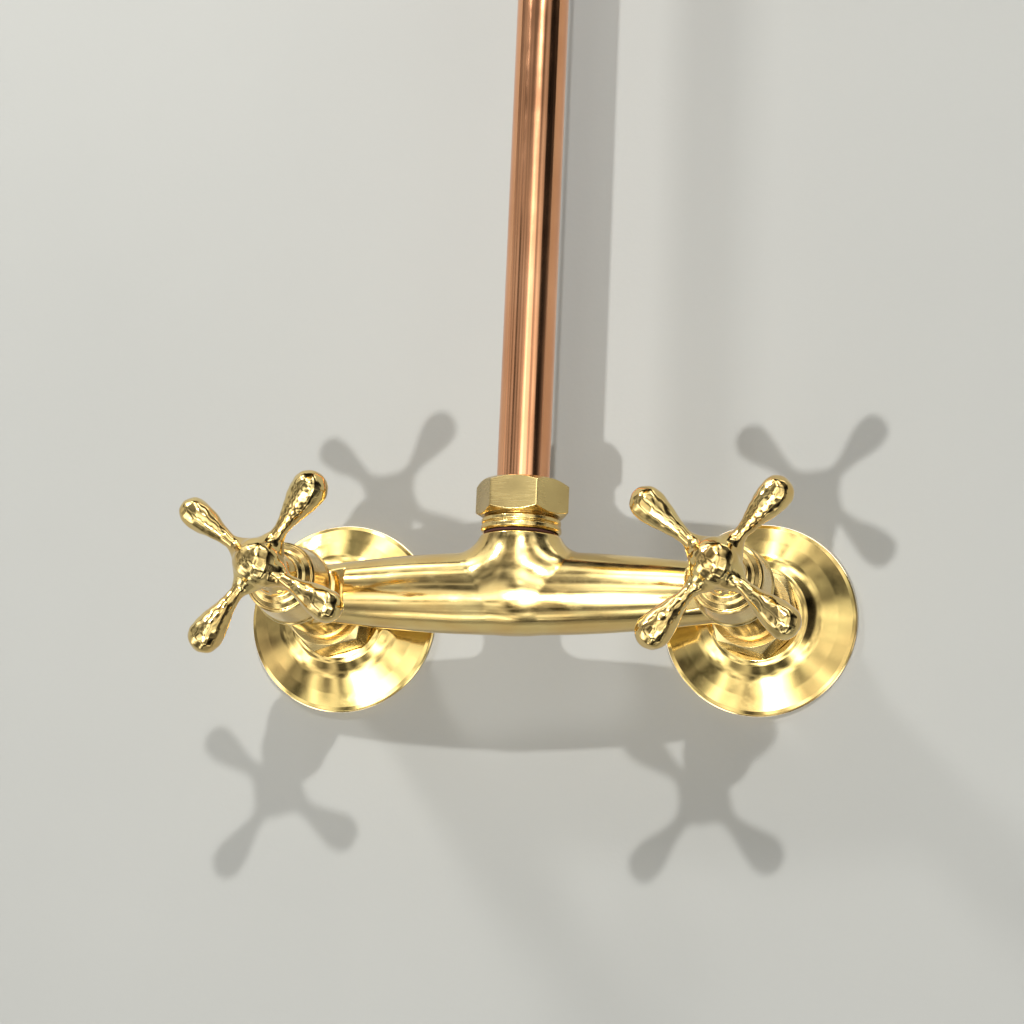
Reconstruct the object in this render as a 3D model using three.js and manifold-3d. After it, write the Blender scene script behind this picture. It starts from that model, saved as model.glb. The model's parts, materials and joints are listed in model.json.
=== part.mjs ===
// A wall-mounted rainfall shower column: a cast brass two-handle mixer, a copper riser bent over into an arm,
// a wall bracket, and a round rain head on a ball joint.
// Millimetres, +Z up. The wall is the plane Y = 0, and the column stands out of it towards -Y.
// The origin is the point on the wall midway between the two inlets.

import * as THREE from "three";
import { mergeVertices } from "three/addons/utils/BufferGeometryUtils.js";
import Module from "manifold-3d";

const wasm = await Module();
wasm.setup();

// ---------------------------------------------------------------- driving sizes

const gap = 0.3; // between faces that rest on each other
const runningGap = 0.3; // radial, between a piece that turns and what it turns in

const inletSpacing = 150; // between the hot and cold inlet axes
const barrelDepth = 51; // wall to the barrel's axis
const barrelMidRadius = 14.2;
const barrelEndRadius = 10.8;
const barrelWall = 4.2;
const shoulderFromValve = 16.5; // valve axis to the square shoulder that ends the barrel's front
const bossRadius = 11.6;
const seatStandOff = 8; // barrel axis to the machined seat under a headwork

const wallThreadRadius = 10.4;
const wallThreadLength = 16; // goes into the wall fitting
const waterwayRadius = 7;
const unionThreadRadius = 12.2;
const unionSeatDepth = 17;
const washerThickness = 1.7;
const tailFlangeThickness = 2.5;
const unionNutFlats = 28;
const unionNutLength = 15;
const unionLip = 3.3;

const flangeRadius = 34;
const flangeHubRadius = 15.6;
const flangeHubDepth = 10;
const flangeSheet = 1.4;

const neckRadius = 13.2;
const neckTop = 19.3; // above the barrel's axis
const neckFillet = 9;
const collarHeight = 5;
const fibreWasher = 0.8;
const riserRadius = 9; // 18 mm copper tube
const riserWall = 1;
const riserThreadWall = 2.3; // a compression thread's metal outside the pipe
const riserNutWall = 2.7; // a compression nut's flats outside its thread
const riserNutHeight = 12;
const pipeInsertion = 4; // how deep the pipe goes into a compression end
const oliveLength = 3.7;

const sleeveWall = 1.3; // of the headwork, round its discs
const headworkRingLength = 8.7;
const headworkNeckRadius = 6.2;
const headworkNeckLength = 8;
const spindleRadius = 3.9;
const discRadius = 6.4;
const discThickness = 3;
const discPortRadius = 1.9;
const discPortOffset = 3.6;
const driverLength = 2.8;
const sealThickness = 1.8;
const clipThickness = 0.8;
const clipGrooveDepth = 0.8;
const ringSealWidth = 1.8;
const ringGrooveDepth = 1.1;
const grubRadius = 1.6;
const bellRadius = 13.2;
const bellFrontRadius = 11.4;
const bellLength = 16;
const bellStandOff = 5; // seat to the bell's back rim
const bellDome = 3.4; // how far the bell's cone stands in front of its rim
const bellSheet = 1.2;

const handleStandOff = 54; // barrel's axis to the plane of the four arms
const armReach = 29.3; // spindle axis to the centre of an arm's ball
const armBallRadius = 5.7;
const armWaistRadius = 2.3;
const armWeb = 0.9; // how much deeper than wide an arm is at the hub, falling to none at its ball
const armRootRadius = 4.4;
const hubRadius = 8;
const hubDome = 8; // how far the hub's dome stands in front of the arms' plane
const hubSkirtRadius = 7.4;
const spindleSocketGap = 0.35;
const handleTurn = { hot: 11.4, cold: 4.5 }; // how far each cross is turned from a square X, degrees

const riserHeight = 960; // barrel axis to the arm's axis
const armLength = 330; // riser axis to the head's axis
const shoulderBend = 75; // bend radius at the top of the riser
const dropBend = 45; // bend radius where the arm turns down
const dropLength = 26; // straight below that bend

const bracketHeight = 720;
const roseRadius = 24;
const roseDepth = 9.6;
const bracketStemRadius = 5;
const bracketStudRadius = 3;
const bracketStudLength = 30; // goes into the wall
const clampWidth = 12;
const clampWall = 4;
const clampEar = 9;
const clampSplit = 0.6; // between the two halves of the clamp
const clampPipeGap = 0.25;
const earThickness = 4;
const clampScrewRadius = 2;
const clampScrewHeadRadius = 3.6;
const clampScrewHead = 3.2;

const ballRadius = 9;
const swivelNeckRadius = 4.6;
const swivelTilt = 15; // degrees either way
const ballDrop = 22; // end of the pipe to the ball's centre
const studBore = 3.4;
const studShoulderLength = 4.4;
const swivelRingWall = 2.4;
const headStemRadius = 9; // the socket's tube, which passes through the dome
const headStemBore = 5;
const headFlangeWidth = 8; // the socket's flange outside its tube
const lockNutFlats = 24;
const lockNutHeight = 3.6;
const headRadius = 100;
const headDepth = 24;
const plateThickness = 2;
const sprayRings = 4;
const sprayHoleRadius = 1.1;
const sprayMargin = 12; // plate screws' circle to the outermost holes' circle
const plateScrewInset = 14.5; // plate's edge to its screws' circle
const plateScrewRadius = 1.6;
const plateScrewHeadRadius = 3;
const pillarRadius = 4;
const sheet = 1.2;

const broad = 30; // sides of a wide turned piece, such as a flange
const round = 20; // sides of a body or cover
const small = 12; // sides of a thin or hidden piece
const slim = 8; // sides of a screw, a port or a handle's arm

// ---------------------------------------------------------------- materials

function finish(color, roughness, metalness) {
  return new THREE.MeshStandardMaterial({ color, roughness, metalness });
}

const polishedBrass = finish(0xd9b566, 0.12, 1);
const turnedBrass = finish(0xb99a55, 0.35, 1);
const copper = finish(0xc9805c, 0.2, 1);
const steel = finish(0x9a9a98, 0.35, 1);
const ceramic = finish(0xe8e4da, 0.4, 0);
const rubber = finish(0x222222, 0.8, 0);
const fibre = finish(0x3a2a20, 0.9, 0);

// ---------------------------------------------------------------- shapes

// The solid of a closed geometry, for cutting and joining.
function solid(geometry) {
  const bare = geometry.index ? geometry.toNonIndexed() : geometry.clone();
  bare.deleteAttribute("normal");
  bare.deleteAttribute("uv");
  const merged = mergeVertices(bare, 1e-4);
  return new wasm.Manifold(
    new wasm.Mesh({
      numProp: 3,
      vertProperties: merged.attributes.position.array,
      triVerts: new Uint32Array(merged.index.array),
    }),
  );
}

// The geometry of a solid.
function geometryOf(body) {
  const mesh = body.getMesh();
  const positions = new Float32Array(mesh.numVert * 3);
  for (let i = 0; i < mesh.numVert; i++) {
    positions.set(mesh.vertProperties.subarray(i * mesh.numProp, i * mesh.numProp + 3), i * 3);
  }
  const geometry = new THREE.BufferGeometry();
  geometry.setAttribute("position", new THREE.BufferAttribute(positions, 3));
  geometry.setIndex(new THREE.BufferAttribute(mesh.triVerts, 1));
  geometry.computeVertexNormals();
  return geometry;
}

const join = (first, ...others) => others.reduce((sum, other) => sum.add(other), first);
const cut = (first, ...others) => others.reduce((rest, other) => rest.subtract(other), first);

// A profile of [radius, height] points turned about the Y axis, closed and wound so that its faces point out.
function turned(profile, sides = round) {
  const area = profile.reduce((sum, [r, h], i) => {
    const [r2, h2] = profile[(i + 1) % profile.length];
    return sum + r * h2 - r2 * h;
  }, 0);
  const ordered = area > 0 ? [...profile] : [...profile].reverse();
  const offAxis = ordered.findIndex(([r], i) => r === 0 && ordered[(i + 1) % ordered.length][0] === 0);
  // A profile that touches the axis starts and ends on it, and any other closes on its first point.
  const loop = offAxis >= 0
    ? [...ordered.slice(offAxis + 1), ...ordered.slice(0, offAxis + 1)]
    : [...ordered, ordered[0]];
  return new THREE.LatheGeometry(loop.map(([r, h]) => new THREE.Vector2(r, h)), sides);
}

function rod(radius, from, to, sides = round) {
  return turned([[0, from], [radius, from], [radius, to], [0, to]], sides);
}

function tube(inner, outer, from, to, sides = round) {
  return turned([[inner, from], [outer, from], [outer, to], [inner, to]], sides);
}

// The corner radius of a faceted hole whose flats still clear a round of this radius.
const around = (radius, sides = small) => radius / Math.cos(Math.PI / sides);

// Points on an arc of a profile, from one angle to another in degrees, both ends included.
function arc(centreR, centreH, radius, fromDeg, toDeg, steps) {
  return Array.from({ length: steps + 1 }, (_, i) => {
    const a = THREE.MathUtils.degToRad(fromDeg + ((toDeg - fromDeg) * i) / steps);
    return [centreR + radius * Math.cos(a), centreH + radius * Math.sin(a)];
  });
}

// A hexagonal prism about the Y axis with its two ends chamfered all round, a corner on +X.
function hexagon(acrossFlats, from, to) {
  const corner = acrossFlats / Math.sqrt(3);
  const outline = new THREE.Shape(
    Array.from({ length: 6 }, (_, i) => {
      const a = (i * Math.PI) / 3;
      return new THREE.Vector2(corner * Math.cos(a), corner * Math.sin(a));
    }),
  );
  const prism = new THREE.ExtrudeGeometry(outline, { depth: to - from, bevelEnabled: false });
  prism.rotateX(-Math.PI / 2);
  prism.translate(0, from, 0);
  const flat = acrossFlats / 2;
  const bevel = (corner - flat) * 0.6;
  const chamfer = turned([
    [0, from],
    [flat * 0.97, from],
    [corner + 0.1, from + bevel],
    [corner + 0.1, to - bevel],
    [flat * 0.97, to],
    [0, to],
  ]);
  return solid(prism).intersect(solid(chamfer));
}

// ---------------------------------------------------------------- placing

const column = new THREE.Group();

function piece(name, shape, material, parent) {
  const mesh = new THREE.Mesh(shape instanceof THREE.BufferGeometry ? shape : geometryOf(shape), material);
  mesh.name = name;
  parent.add(mesh);
  return mesh;
}

// A frame whose +Y is a distance out from the wall, at x and z on the wall.
function fromWall(x, z) {
  const group = new THREE.Group();
  group.position.set(x, 0, z);
  group.rotation.x = Math.PI;
  column.add(group);
  return group;
}

// A frame whose +Y points up, or down when flipped, at a depth from the wall and a height.
function upright(depth, z, flipped = false) {
  const group = new THREE.Group();
  group.position.set(0, -depth, z);
  group.rotation.x = flipped ? -Math.PI / 2 : Math.PI / 2;
  column.add(group);
  return group;
}

// ---------------------------------------------------------------- mixer body

const seatDepth = barrelDepth + seatStandOff;
const tailFaceDepth = unionSeatDepth + gap + washerThickness + gap;
const tailFlangeFront = tailFaceDepth + tailFlangeThickness;
const unionNutBack = flangeHubDepth + gap;
const unionNutFront = unionNutBack + unionNutLength;
const tailRadius = bossRadius - 1.4;
const tailFlangeRadius = unionThreadRadius - gap;
const headworkRadius = discRadius + runningGap + sleeveWall;
const chamberRadius = headworkRadius + runningGap;
const chamberFloor = barrelDepth - barrelEndRadius - 4;
const shoulderX = inletSpacing / 2 - shoulderFromValve;
const spigotRadius = riserRadius + 0.7; // the collar's end that screws into the neck
const spigotLength = 8.6;

// The barrel's radius falls off with the square of the distance from its middle.
function barrelRadiusAt(x) {
  return barrelMidRadius - (barrelMidRadius - barrelEndRadius) * (x / shoulderX) ** 2;
}

function barrel() {
  const stations = 8;
  const half = inletSpacing / 2 - 2;
  const profile = [[0, -half]];
  for (let i = 0; i <= stations; i++) {
    const x = -half + (2 * half * i) / stations;
    profile.push([Math.max(barrelRadiusAt(x), barrelEndRadius - 1.2), x]);
  }
  profile.push([0, half]);
  return turned(profile).rotateZ(-Math.PI / 2);
}

// The neck's side runs down into a fillet that meets the barrel's top.
function neck() {
  const filletFoot = neckTop - 7;
  const flare = arc(neckRadius + neckFillet, filletFoot, neckFillet, 180, 232, 4);
  const top = [[neckRadius, filletFoot], [neckRadius, neckTop], [0, neckTop]];
  return turned([[0, 0], ...flare.reverse().slice(0, -1), ...top]).rotateX(Math.PI / 2);
}

// Everything of one valve end, in a frame whose Y is the distance from the barrel's axis towards the wall.
function valveEnd(side) {
  const x = (side * inletSpacing) / 2;
  const out = (depth) => barrelDepth - depth; // from a depth off the wall to this frame's Y
  const place = (geometry) => solid(geometry.translate(x, 0, 0));
  const boss = turned([
    [0, out(seatDepth)],
    [bossRadius - 1.5, out(seatDepth)],
    [bossRadius, out(seatDepth - 3)],
    [bossRadius, out(unionNutFront + 2.5)],
    [tailRadius, out(unionNutFront + 1)],
    [tailRadius, out(tailFlangeFront)],
    [tailFlangeRadius, out(tailFlangeFront)],
    [tailFlangeRadius, out(tailFaceDepth)],
    [0, out(tailFaceDepth)],
  ]);
  const tailBore = rod(waterwayRadius, out(chamberFloor) - 1, out(tailFaceDepth) + 1, small);
  const chamber = rod(chamberRadius, out(seatDepth) - 1, out(chamberFloor), small);
  const cutter = 40;
  const shoulder = new THREE.BoxGeometry(cutter, cutter, cutter);
  shoulder.translate(side * (shoulderX + cutter / 2) - x, out(seatDepth) - cutter / 2, 0);
  return { boss: place(boss), bores: [place(tailBore), place(chamber)], shoulder: place(shoulder) };
}

function mixerBody() {
  const ends = [-1, 1].map(valveEnd);
  const half = inletSpacing / 2;
  const across = rod(barrelEndRadius - barrelWall, -half, half, small).rotateZ(Math.PI / 2);
  const up = rod(waterwayRadius + 0.6, 0, neckTop - spigotLength + 1, small).rotateX(Math.PI / 2);
  const boreBottom = neckTop - spigotLength - 0.4;
  const spigotBore = rod(around(spigotRadius + gap), boreBottom, neckTop + 1, small).rotateX(Math.PI / 2);
  const whole = join(solid(barrel()), solid(neck()));
  const squared = cut(whole, ...ends.map((end) => end.shoulder));
  const bossed = join(squared, ...ends.map((end) => end.boss));
  return cut(bossed, ...ends.flatMap((end) => end.bores), solid(across), solid(up), solid(spigotBore));
}

const bodyFrame = new THREE.Group();
bodyFrame.position.set(0, -barrelDepth, 0);
column.add(bodyFrame);
piece("mixer_body", mixerBody(), polishedBrass, bodyFrame);

// ---------------------------------------------------------------- inlets

function wallConnector() {
  return turned([
    [waterwayRadius, -wallThreadLength],
    [wallThreadRadius, -wallThreadLength],
    [wallThreadRadius, 3],
    [unionThreadRadius, 4],
    [unionThreadRadius, unionSeatDepth],
    [waterwayRadius, unionSeatDepth],
  ], small);
}

// A spun dish: a rim on the wall, a shallow rise, and a short hub that hides the connector.
function wallFlange() {
  const bore = unionThreadRadius + gap;
  const [outerStep, outerRise] = [flangeRadius - 7, flangeHubDepth * 0.44];
  const [innerStep, innerRise] = [flangeHubRadius + 4.4, flangeHubDepth * 0.68];
  return turned([
    [flangeRadius - 1.6, 0],
    [flangeRadius, 0],
    [flangeRadius, 1.6],
    [flangeRadius - 1.2, 2.6],
    [outerStep, outerRise],
    [innerStep, innerRise],
    [flangeHubRadius, flangeHubDepth],
    [bore, flangeHubDepth],
    [bore, flangeHubDepth - flangeSheet],
    [innerStep - 0.6, innerRise - flangeSheet],
    [outerStep - 0.4, outerRise - flangeSheet],
    [flangeRadius - 1.6, 1.2],
  ], broad);
}

function unionNut() {
  const bore = turned([
    [0, unionNutBack - 1],
    [around(unionThreadRadius + gap), unionNutBack - 1],
    [around(unionThreadRadius + gap), unionNutFront - unionLip],
    [around(tailRadius + gap), unionNutFront - unionLip],
    [around(tailRadius + gap), unionNutFront + 1],
    [0, unionNutFront + 1],
  ], small);
  return cut(hexagon(unionNutFlats, unionNutBack, unionNutFront), solid(bore));
}

// ---------------------------------------------------------------- headworks and handles

// The cartridge stacks outwards from the chamber's floor: seal, fixed disc, turning disc, spindle driver.
const sealBack = chamberFloor + gap;
const sleeveBack = sealBack + sealThickness + gap;
const fixedDiscBack = sleeveBack + gap;
const turningDiscBack = fixedDiscBack + discThickness + gap;
const driverBack = turningDiscBack + discThickness + gap;
const stemBoreBack = driverBack + driverLength + gap;
const ringBack = seatDepth + gap;
const ringFront = ringBack + headworkRingLength;
const headworkFront = ringFront + headworkNeckLength;
const bellBack = seatDepth + bellStandOff;
const bellFront = bellBack + bellLength;
const domeFront = bellFront + bellDome;
const handleDepth = barrelDepth + handleStandOff;
const skirtBack = domeFront + 1.6;
const hubBack = handleDepth - 5;
const spindleFront = hubBack - 1;
const clipBack = headworkFront + gap;
const clipGroove = spindleRadius - clipGrooveDepth;
const ringGroove = spindleRadius - ringGrooveDepth;
const ringSealDepth = stemBoreBack + 6;
const grubDepth = (skirtBack + hubBack) / 2;
const hubSocket = spindleRadius + spindleSocketGap;
const grooveGap = 0.2; // round a ring in its groove

function headwork() {
  const body = turned([
    [discRadius + runningGap, sleeveBack],
    [headworkRadius, sleeveBack],
    [headworkRadius, ringBack],
    [bossRadius, ringBack],
    [bossRadius, ringFront],
    [headworkNeckRadius, ringFront],
    [headworkNeckRadius, headworkFront],
    [spindleRadius + runningGap, headworkFront],
    [spindleRadius + runningGap, stemBoreBack],
    [discRadius + runningGap, stemBoreBack],
  ], small);
  const window = new THREE.BoxGeometry(2.4 * headworkRadius, discThickness, headworkRadius);
  window.translate(0, turningDiscBack + discThickness / 2 + 0.4, 0);
  return cut(solid(body), solid(window));
}

function bell() {
  const bellGap = 0.35;
  return turned([
    [bossRadius + bellGap, bellBack],
    [bellRadius, bellBack],
    [bellRadius + 0.3, bellBack + 0.9],
    [bellRadius - 0.3, bellBack + 2],
    [bellFrontRadius + 0.5, bellFront - 1.4],
    [bellFrontRadius, bellFront],
    [bellFrontRadius - 2, bellFront + 0.65 * bellDome],
    [bellFrontRadius - 4.5, domeFront],
    [spindleRadius + 1.1, domeFront],
    [spindleRadius + 1.1, domeFront - bellSheet],
    [bellFrontRadius - 2.8, bellFront + 0.65 * bellDome - bellSheet],
    [bellFrontRadius - bellSheet, bellFront - 0.6],
    [bellFrontRadius + 0.5 - bellSheet, ringFront + 1],
    [bossRadius + bellGap, ringFront + 0.4],
  ]);
}

// A ceramic disc with two ports on opposite sides.
function ceramicDisc(back, portAngle) {
  const ports = [0, 180].map((deg) => {
    const a = THREE.MathUtils.degToRad(deg + portAngle);
    const port = rod(discPortRadius, back - 1, back + discThickness + 1, slim);
    return solid(port.translate(discPortOffset * Math.cos(a), 0, discPortOffset * Math.sin(a)));
  });
  return cut(solid(rod(discRadius, back, back + discThickness, small)), ...ports);
}

function spindle() {
  const sealFront = ringSealDepth + ringSealWidth;
  return turned([
    [0, driverBack],
    [discRadius, driverBack],
    [discRadius, driverBack + driverLength],
    [spindleRadius, driverBack + driverLength],
    [spindleRadius, ringSealDepth - grooveGap],
    [ringGroove, ringSealDepth - grooveGap],
    [ringGroove, sealFront + grooveGap],
    [spindleRadius, sealFront + grooveGap],
    [spindleRadius, clipBack - grooveGap],
    [clipGroove, clipBack - grooveGap],
    [clipGroove, clipBack + clipThickness + grooveGap],
    [spindleRadius, clipBack + clipThickness + grooveGap],
    [spindleRadius, spindleFront],
    [0, spindleFront],
  ], small);
}

// One arm along +X, turned about its own axis and then deepened towards the hub, with a waist and a ball.
function arm() {
  const ball = arc(0, armReach, armBallRadius, -35, 90, 4);
  const profile = [
    [0, 0],
    [armRootRadius, 0],
    [armWaistRadius + 0.7, 8.5],
    [armWaistRadius, 12],
    [armWaistRadius + 1.1, 20],
    ...ball.slice(0, -1),
    [0, armReach + armBallRadius],
  ];
  const geometry = turned(profile, slim).rotateZ(-Math.PI / 2);
  const at = geometry.attributes.position;
  for (let i = 0; i < at.count; i++) {
    const web = 1 + armWeb * Math.max(0, 1 - at.getX(i) / armReach);
    at.setY(i, at.getY(i) * web);
  }
  return geometry;
}

function crossHandle(turn) {
  const hub = turned([
    [0, skirtBack],
    [hubSkirtRadius, skirtBack],
    [hubSkirtRadius - 0.4, skirtBack + 3],
    [hubSkirtRadius - 0.8, hubBack - 4],
    [hubRadius - 0.4, hubBack],
    [hubRadius, handleDepth],
    [hubRadius - 0.6, handleDepth + hubDome * 0.37],
    [hubRadius - 2.6, handleDepth + hubDome * 0.73],
    [hubRadius - 5.4, handleDepth + hubDome * 0.93],
    [0, handleDepth + hubDome],
  ], small);
  const arms = [45, 135, 225, 315].map((deg) => {
    const turnedBy = THREE.MathUtils.degToRad(deg + turn);
    return solid(arm().rotateY(turnedBy).translate(0, handleDepth, 0));
  });
  const socket = rod(hubSocket, skirtBack - 1, hubBack, small);
  const grubHole = rod(grubRadius + gap, 0, hubSkirtRadius + 4, slim);
  grubHole.rotateX(-Math.PI / 2).translate(0, grubDepth, 0);
  return cut(join(solid(hub), ...arms), solid(socket), solid(grubHole));
}

function grubScrew() {
  const screw = rod(grubRadius, hubSocket, hubSkirtRadius - 1, slim);
  return screw.rotateX(-Math.PI / 2).translate(0, grubDepth, 0);
}

for (const [temperature, side] of [["hot", -1], ["cold", 1]]) {
  const frame = fromWall((side * inletSpacing) / 2, 0);
  const add = (name, shape, material) => piece(`${temperature}_${name}`, shape, material, frame);
  const washerBack = unionSeatDepth + gap;
  add("wall_connector", wallConnector(), turnedBrass);
  add("wall_flange", wallFlange(), polishedBrass);
  add("union_nut", unionNut(), polishedBrass).rotation.y = THREE.MathUtils.degToRad(side * 14);
  const washerFront = washerBack + washerThickness;
  add("union_washer", tube(waterwayRadius + 0.4, tailFlangeRadius, washerBack, washerFront, small), rubber);
  add("headwork", headwork(), turnedBrass);
  add("headwork_seal", tube(4.6, headworkRadius - 0.4, sealBack, sealBack + sealThickness, small), rubber);
  add("fixed_disc", ceramicDisc(fixedDiscBack, 0), ceramic);
  add("turning_disc", ceramicDisc(turningDiscBack, 90), ceramic);
  add("spindle", spindle(), turnedBrass);
  const ringSealFront = ringSealDepth + ringSealWidth;
  const ringSeal = tube(ringGroove + grooveGap, spindleRadius, ringSealDepth, ringSealFront, small);
  add("spindle_o_ring", ringSeal, rubber);
  const clip = tube(clipGroove + grooveGap, spindleRadius + 1.3, clipBack, clipBack + clipThickness, small);
  add("spindle_clip", clip, steel);
  add("bell", bell(), polishedBrass);
  add("cross_handle", crossHandle(handleTurn[temperature]), polishedBrass);
  add("grub_screw", grubScrew(), steel);
}

// ---------------------------------------------------------------- riser

const fibreBottom = neckTop + 0.2;
const collarBottom = fibreBottom + fibreWasher + 0.2;
const collarTop = collarBottom + collarHeight;
const riserNutBottom = collarTop + 2 * gap;
const riserThreadTop = riserNutBottom + riserNutHeight / 2;
const pipeEnd = riserThreadTop - pipeInsertion;
const riserThreadRadius = riserRadius + riserThreadWall;
const riserNutFlats = 2 * (riserThreadRadius + riserNutWall);
const collarRadius = riserThreadRadius + 2.4;
const oliveTop = riserThreadTop + gap + oliveLength;
const riserNutTop = riserNutBottom + riserNutHeight;
const socketRadius = riserRadius + gap;

// The threaded end that a compression nut screws onto, from its shoulder up, as the outer half of a profile.
const compressionThread = (from) => [[riserThreadRadius, from], [riserThreadRadius, riserThreadTop]];

function riserCollar() {
  const ridge = collarHeight / 2;
  return turned([
    [waterwayRadius, neckTop - spigotLength],
    [spigotRadius, neckTop - spigotLength],
    [spigotRadius, collarBottom],
    [collarRadius - 0.4, collarBottom],
    [collarRadius, collarBottom + 0.7],
    [collarRadius, collarBottom + ridge - 0.7],
    [collarRadius - 0.7, collarBottom + ridge],
    [collarRadius, collarBottom + ridge + 0.7],
    [collarRadius - 0.3, collarTop],
    ...compressionThread(collarTop),
    [socketRadius, riserThreadTop],
    [socketRadius, pipeEnd - gap],
    [waterwayRadius, pipeEnd - gap],
  ]);
}

function olive() {
  const foot = riserThreadTop + gap;
  return turned([
    [socketRadius, foot],
    [socketRadius + 0.8, foot],
    [riserThreadRadius - 0.4, foot + 1.3],
    [riserThreadRadius - 0.4, foot + oliveLength - 1],
    [socketRadius + 0.9, oliveTop],
    [socketRadius, oliveTop],
  ], small);
}

function compressionNut() {
  const shoulder = oliveTop + gap;
  const bore = turned([
    [0, riserNutBottom - 1],
    [around(riserThreadRadius + gap), riserNutBottom - 1],
    [around(riserThreadRadius + gap), shoulder],
    [around(riserRadius + gap), shoulder],
    [around(riserRadius + gap), riserNutTop + 1],
    [0, riserNutTop + 1],
  ], small);
  return cut(hexagon(riserNutFlats, riserNutBottom, riserNutTop), solid(bore));
}

// The pipe's centre line, sampled at the ends of its straights and along its bends.
class BentRun extends THREE.Curve {
  constructor(stations) {
    super();
    this.stations = stations;
  }

  getPointAt(u, target = new THREE.Vector3()) {
    const at = u * (this.stations.length - 1);
    const i = Math.min(Math.floor(at + 1e-9), this.stations.length - 2);
    return target.lerpVectors(this.stations[i].point, this.stations[i + 1].point, at - i);
  }

  getTangentAt(u, target = new THREE.Vector3()) {
    const i = Math.round(u * (this.stations.length - 1));
    return target.copy(this.stations[i].tangent);
  }
}

// Stations of a quarter bend in the Y-Z plane, about a centre, from one angle to another in degrees.
function bend(centreY, centreZ, radius, fromDeg, toDeg, steps) {
  return Array.from({ length: steps + 1 }, (_, i) => {
    const a = THREE.MathUtils.degToRad(fromDeg + ((toDeg - fromDeg) * i) / steps);
    const way = Math.sign(toDeg - fromDeg);
    return {
      point: new THREE.Vector3(0, centreY + radius * Math.cos(a), centreZ + radius * Math.sin(a)),
      tangent: new THREE.Vector3(0, -way * Math.sin(a), way * Math.cos(a)),
    };
  });
}

const bendSteps = 5;
const headY = -(barrelDepth + armLength);
const pipeLowZ = riserHeight - dropBend - dropLength;

function riserPipe() {
  const up = new THREE.Vector3(0, 0, 1);
  const down = new THREE.Vector3(0, 0, -1);
  const stations = [
    { point: new THREE.Vector3(0, -barrelDepth, pipeEnd), tangent: up },
    ...bend(-barrelDepth - shoulderBend, riserHeight - shoulderBend, shoulderBend, 0, 90, bendSteps),
    ...bend(headY + dropBend, riserHeight - dropBend, dropBend, 90, 180, bendSteps),
    { point: new THREE.Vector3(0, headY, pipeLowZ), tangent: down },
  ];
  const section = new THREE.Shape();
  section.absarc(0, 0, riserRadius, 0, 2 * Math.PI, false);
  const bore = new THREE.Path();
  bore.absarc(0, 0, riserRadius - riserWall, 0, 2 * Math.PI, true);
  section.holes.push(bore);
  return new THREE.ExtrudeGeometry(section, {
    curveSegments: small / 2,
    steps: stations.length - 1,
    bevelEnabled: false,
    extrudePath: new BentRun(stations),
  });
}

const riserFrame = upright(barrelDepth, 0);
const fibreTop = fibreBottom + fibreWasher;
const fibreRing = tube(around(spigotRadius + gap), neckRadius - 0.5, fibreBottom, fibreTop, small);
piece("riser_washer", fibreRing, fibre, riserFrame);
piece("riser_collar", riserCollar(), polishedBrass, riserFrame);
piece("riser_olive", olive(), turnedBrass, riserFrame);
piece("riser_nut", compressionNut(), polishedBrass, riserFrame);
piece("riser_pipe", riserPipe(), copper, column);

// ---------------------------------------------------------------- wall bracket

const clampInner = riserRadius + clampPipeGap;
const clampOuter = clampInner + clampWall;
const clampScrewX = clampOuter + clampEar / 2 - 0.5;
const earOuter = clampSplit / 2 + earThickness; // the ears' outer faces, from the pipe's axis

// Half of the clamp, on the +Y side of its frame, with an ear on each side.
function clampHalf() {
  const ring = tube(clampInner, clampOuter, -clampWidth / 2, clampWidth / 2).rotateX(Math.PI / 2);
  const ears = new THREE.BoxGeometry(2 * (clampOuter + clampEar), earThickness, clampWidth);
  ears.translate(0, clampSplit / 2 + earThickness / 2, 0);
  const pipeWay = rod(clampInner, -clampWidth, clampWidth).rotateX(Math.PI / 2);
  const reach = 4 * clampOuter;
  const keep = new THREE.BoxGeometry(reach, reach, reach);
  keep.translate(0, (clampSplit + reach) / 2, 0);
  const holes = [-1, 1].map((side) =>
    solid(rod(clampScrewRadius + gap, -clampOuter, clampOuter, slim).translate(side * clampScrewX, 0, 0)));
  return cut(join(solid(ring).intersect(solid(keep)), solid(ears)), solid(pipeWay), ...holes);
}

function bracketRose() {
  return turned([
    [bracketStemRadius + gap, 0],
    [roseRadius - 0.8, 0],
    [roseRadius, 1],
    [roseRadius - 0.6, 3],
    [roseRadius * 0.6, 5.4],
    [bracketStemRadius + 3, roseDepth - 1],
    [bracketStemRadius + 1.6, roseDepth],
    [bracketStemRadius + gap, roseDepth],
  ]);
}

// The stem screws into the wall behind the rose and carries the back half of the clamp.
function bracketStem() {
  const stem = rod(bracketStemRadius, 1, barrelDepth - clampInner - clampWall / 2, small);
  const stud = rod(bracketStudRadius, -bracketStudLength, 2, small);
  const back = clampHalf().rotate([180, 0, 0]).translate([0, barrelDepth, 0]);
  const collar = turned([
    [0, barrelDepth - clampOuter - 6],
    [bracketStemRadius + 2, barrelDepth - clampOuter - 5],
    [bracketStemRadius + 2, barrelDepth - clampOuter - 2],
    [bracketStemRadius + 0.5, barrelDepth - clampOuter + 2],
    [0, barrelDepth - clampOuter + 2],
  ], small);
  return join(solid(stem), solid(stud), back, solid(collar));
}

function clampScrew() {
  const headTop = earOuter + clampScrewHead;
  return turned([
    [0, -earOuter - 2],
    [clampScrewRadius, -earOuter - 2],
    [clampScrewRadius, earOuter + gap],
    [clampScrewHeadRadius, earOuter + gap],
    [clampScrewHeadRadius, headTop - 0.8],
    [clampScrewHeadRadius - 1, headTop],
    [0, headTop],
  ], slim);
}

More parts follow.
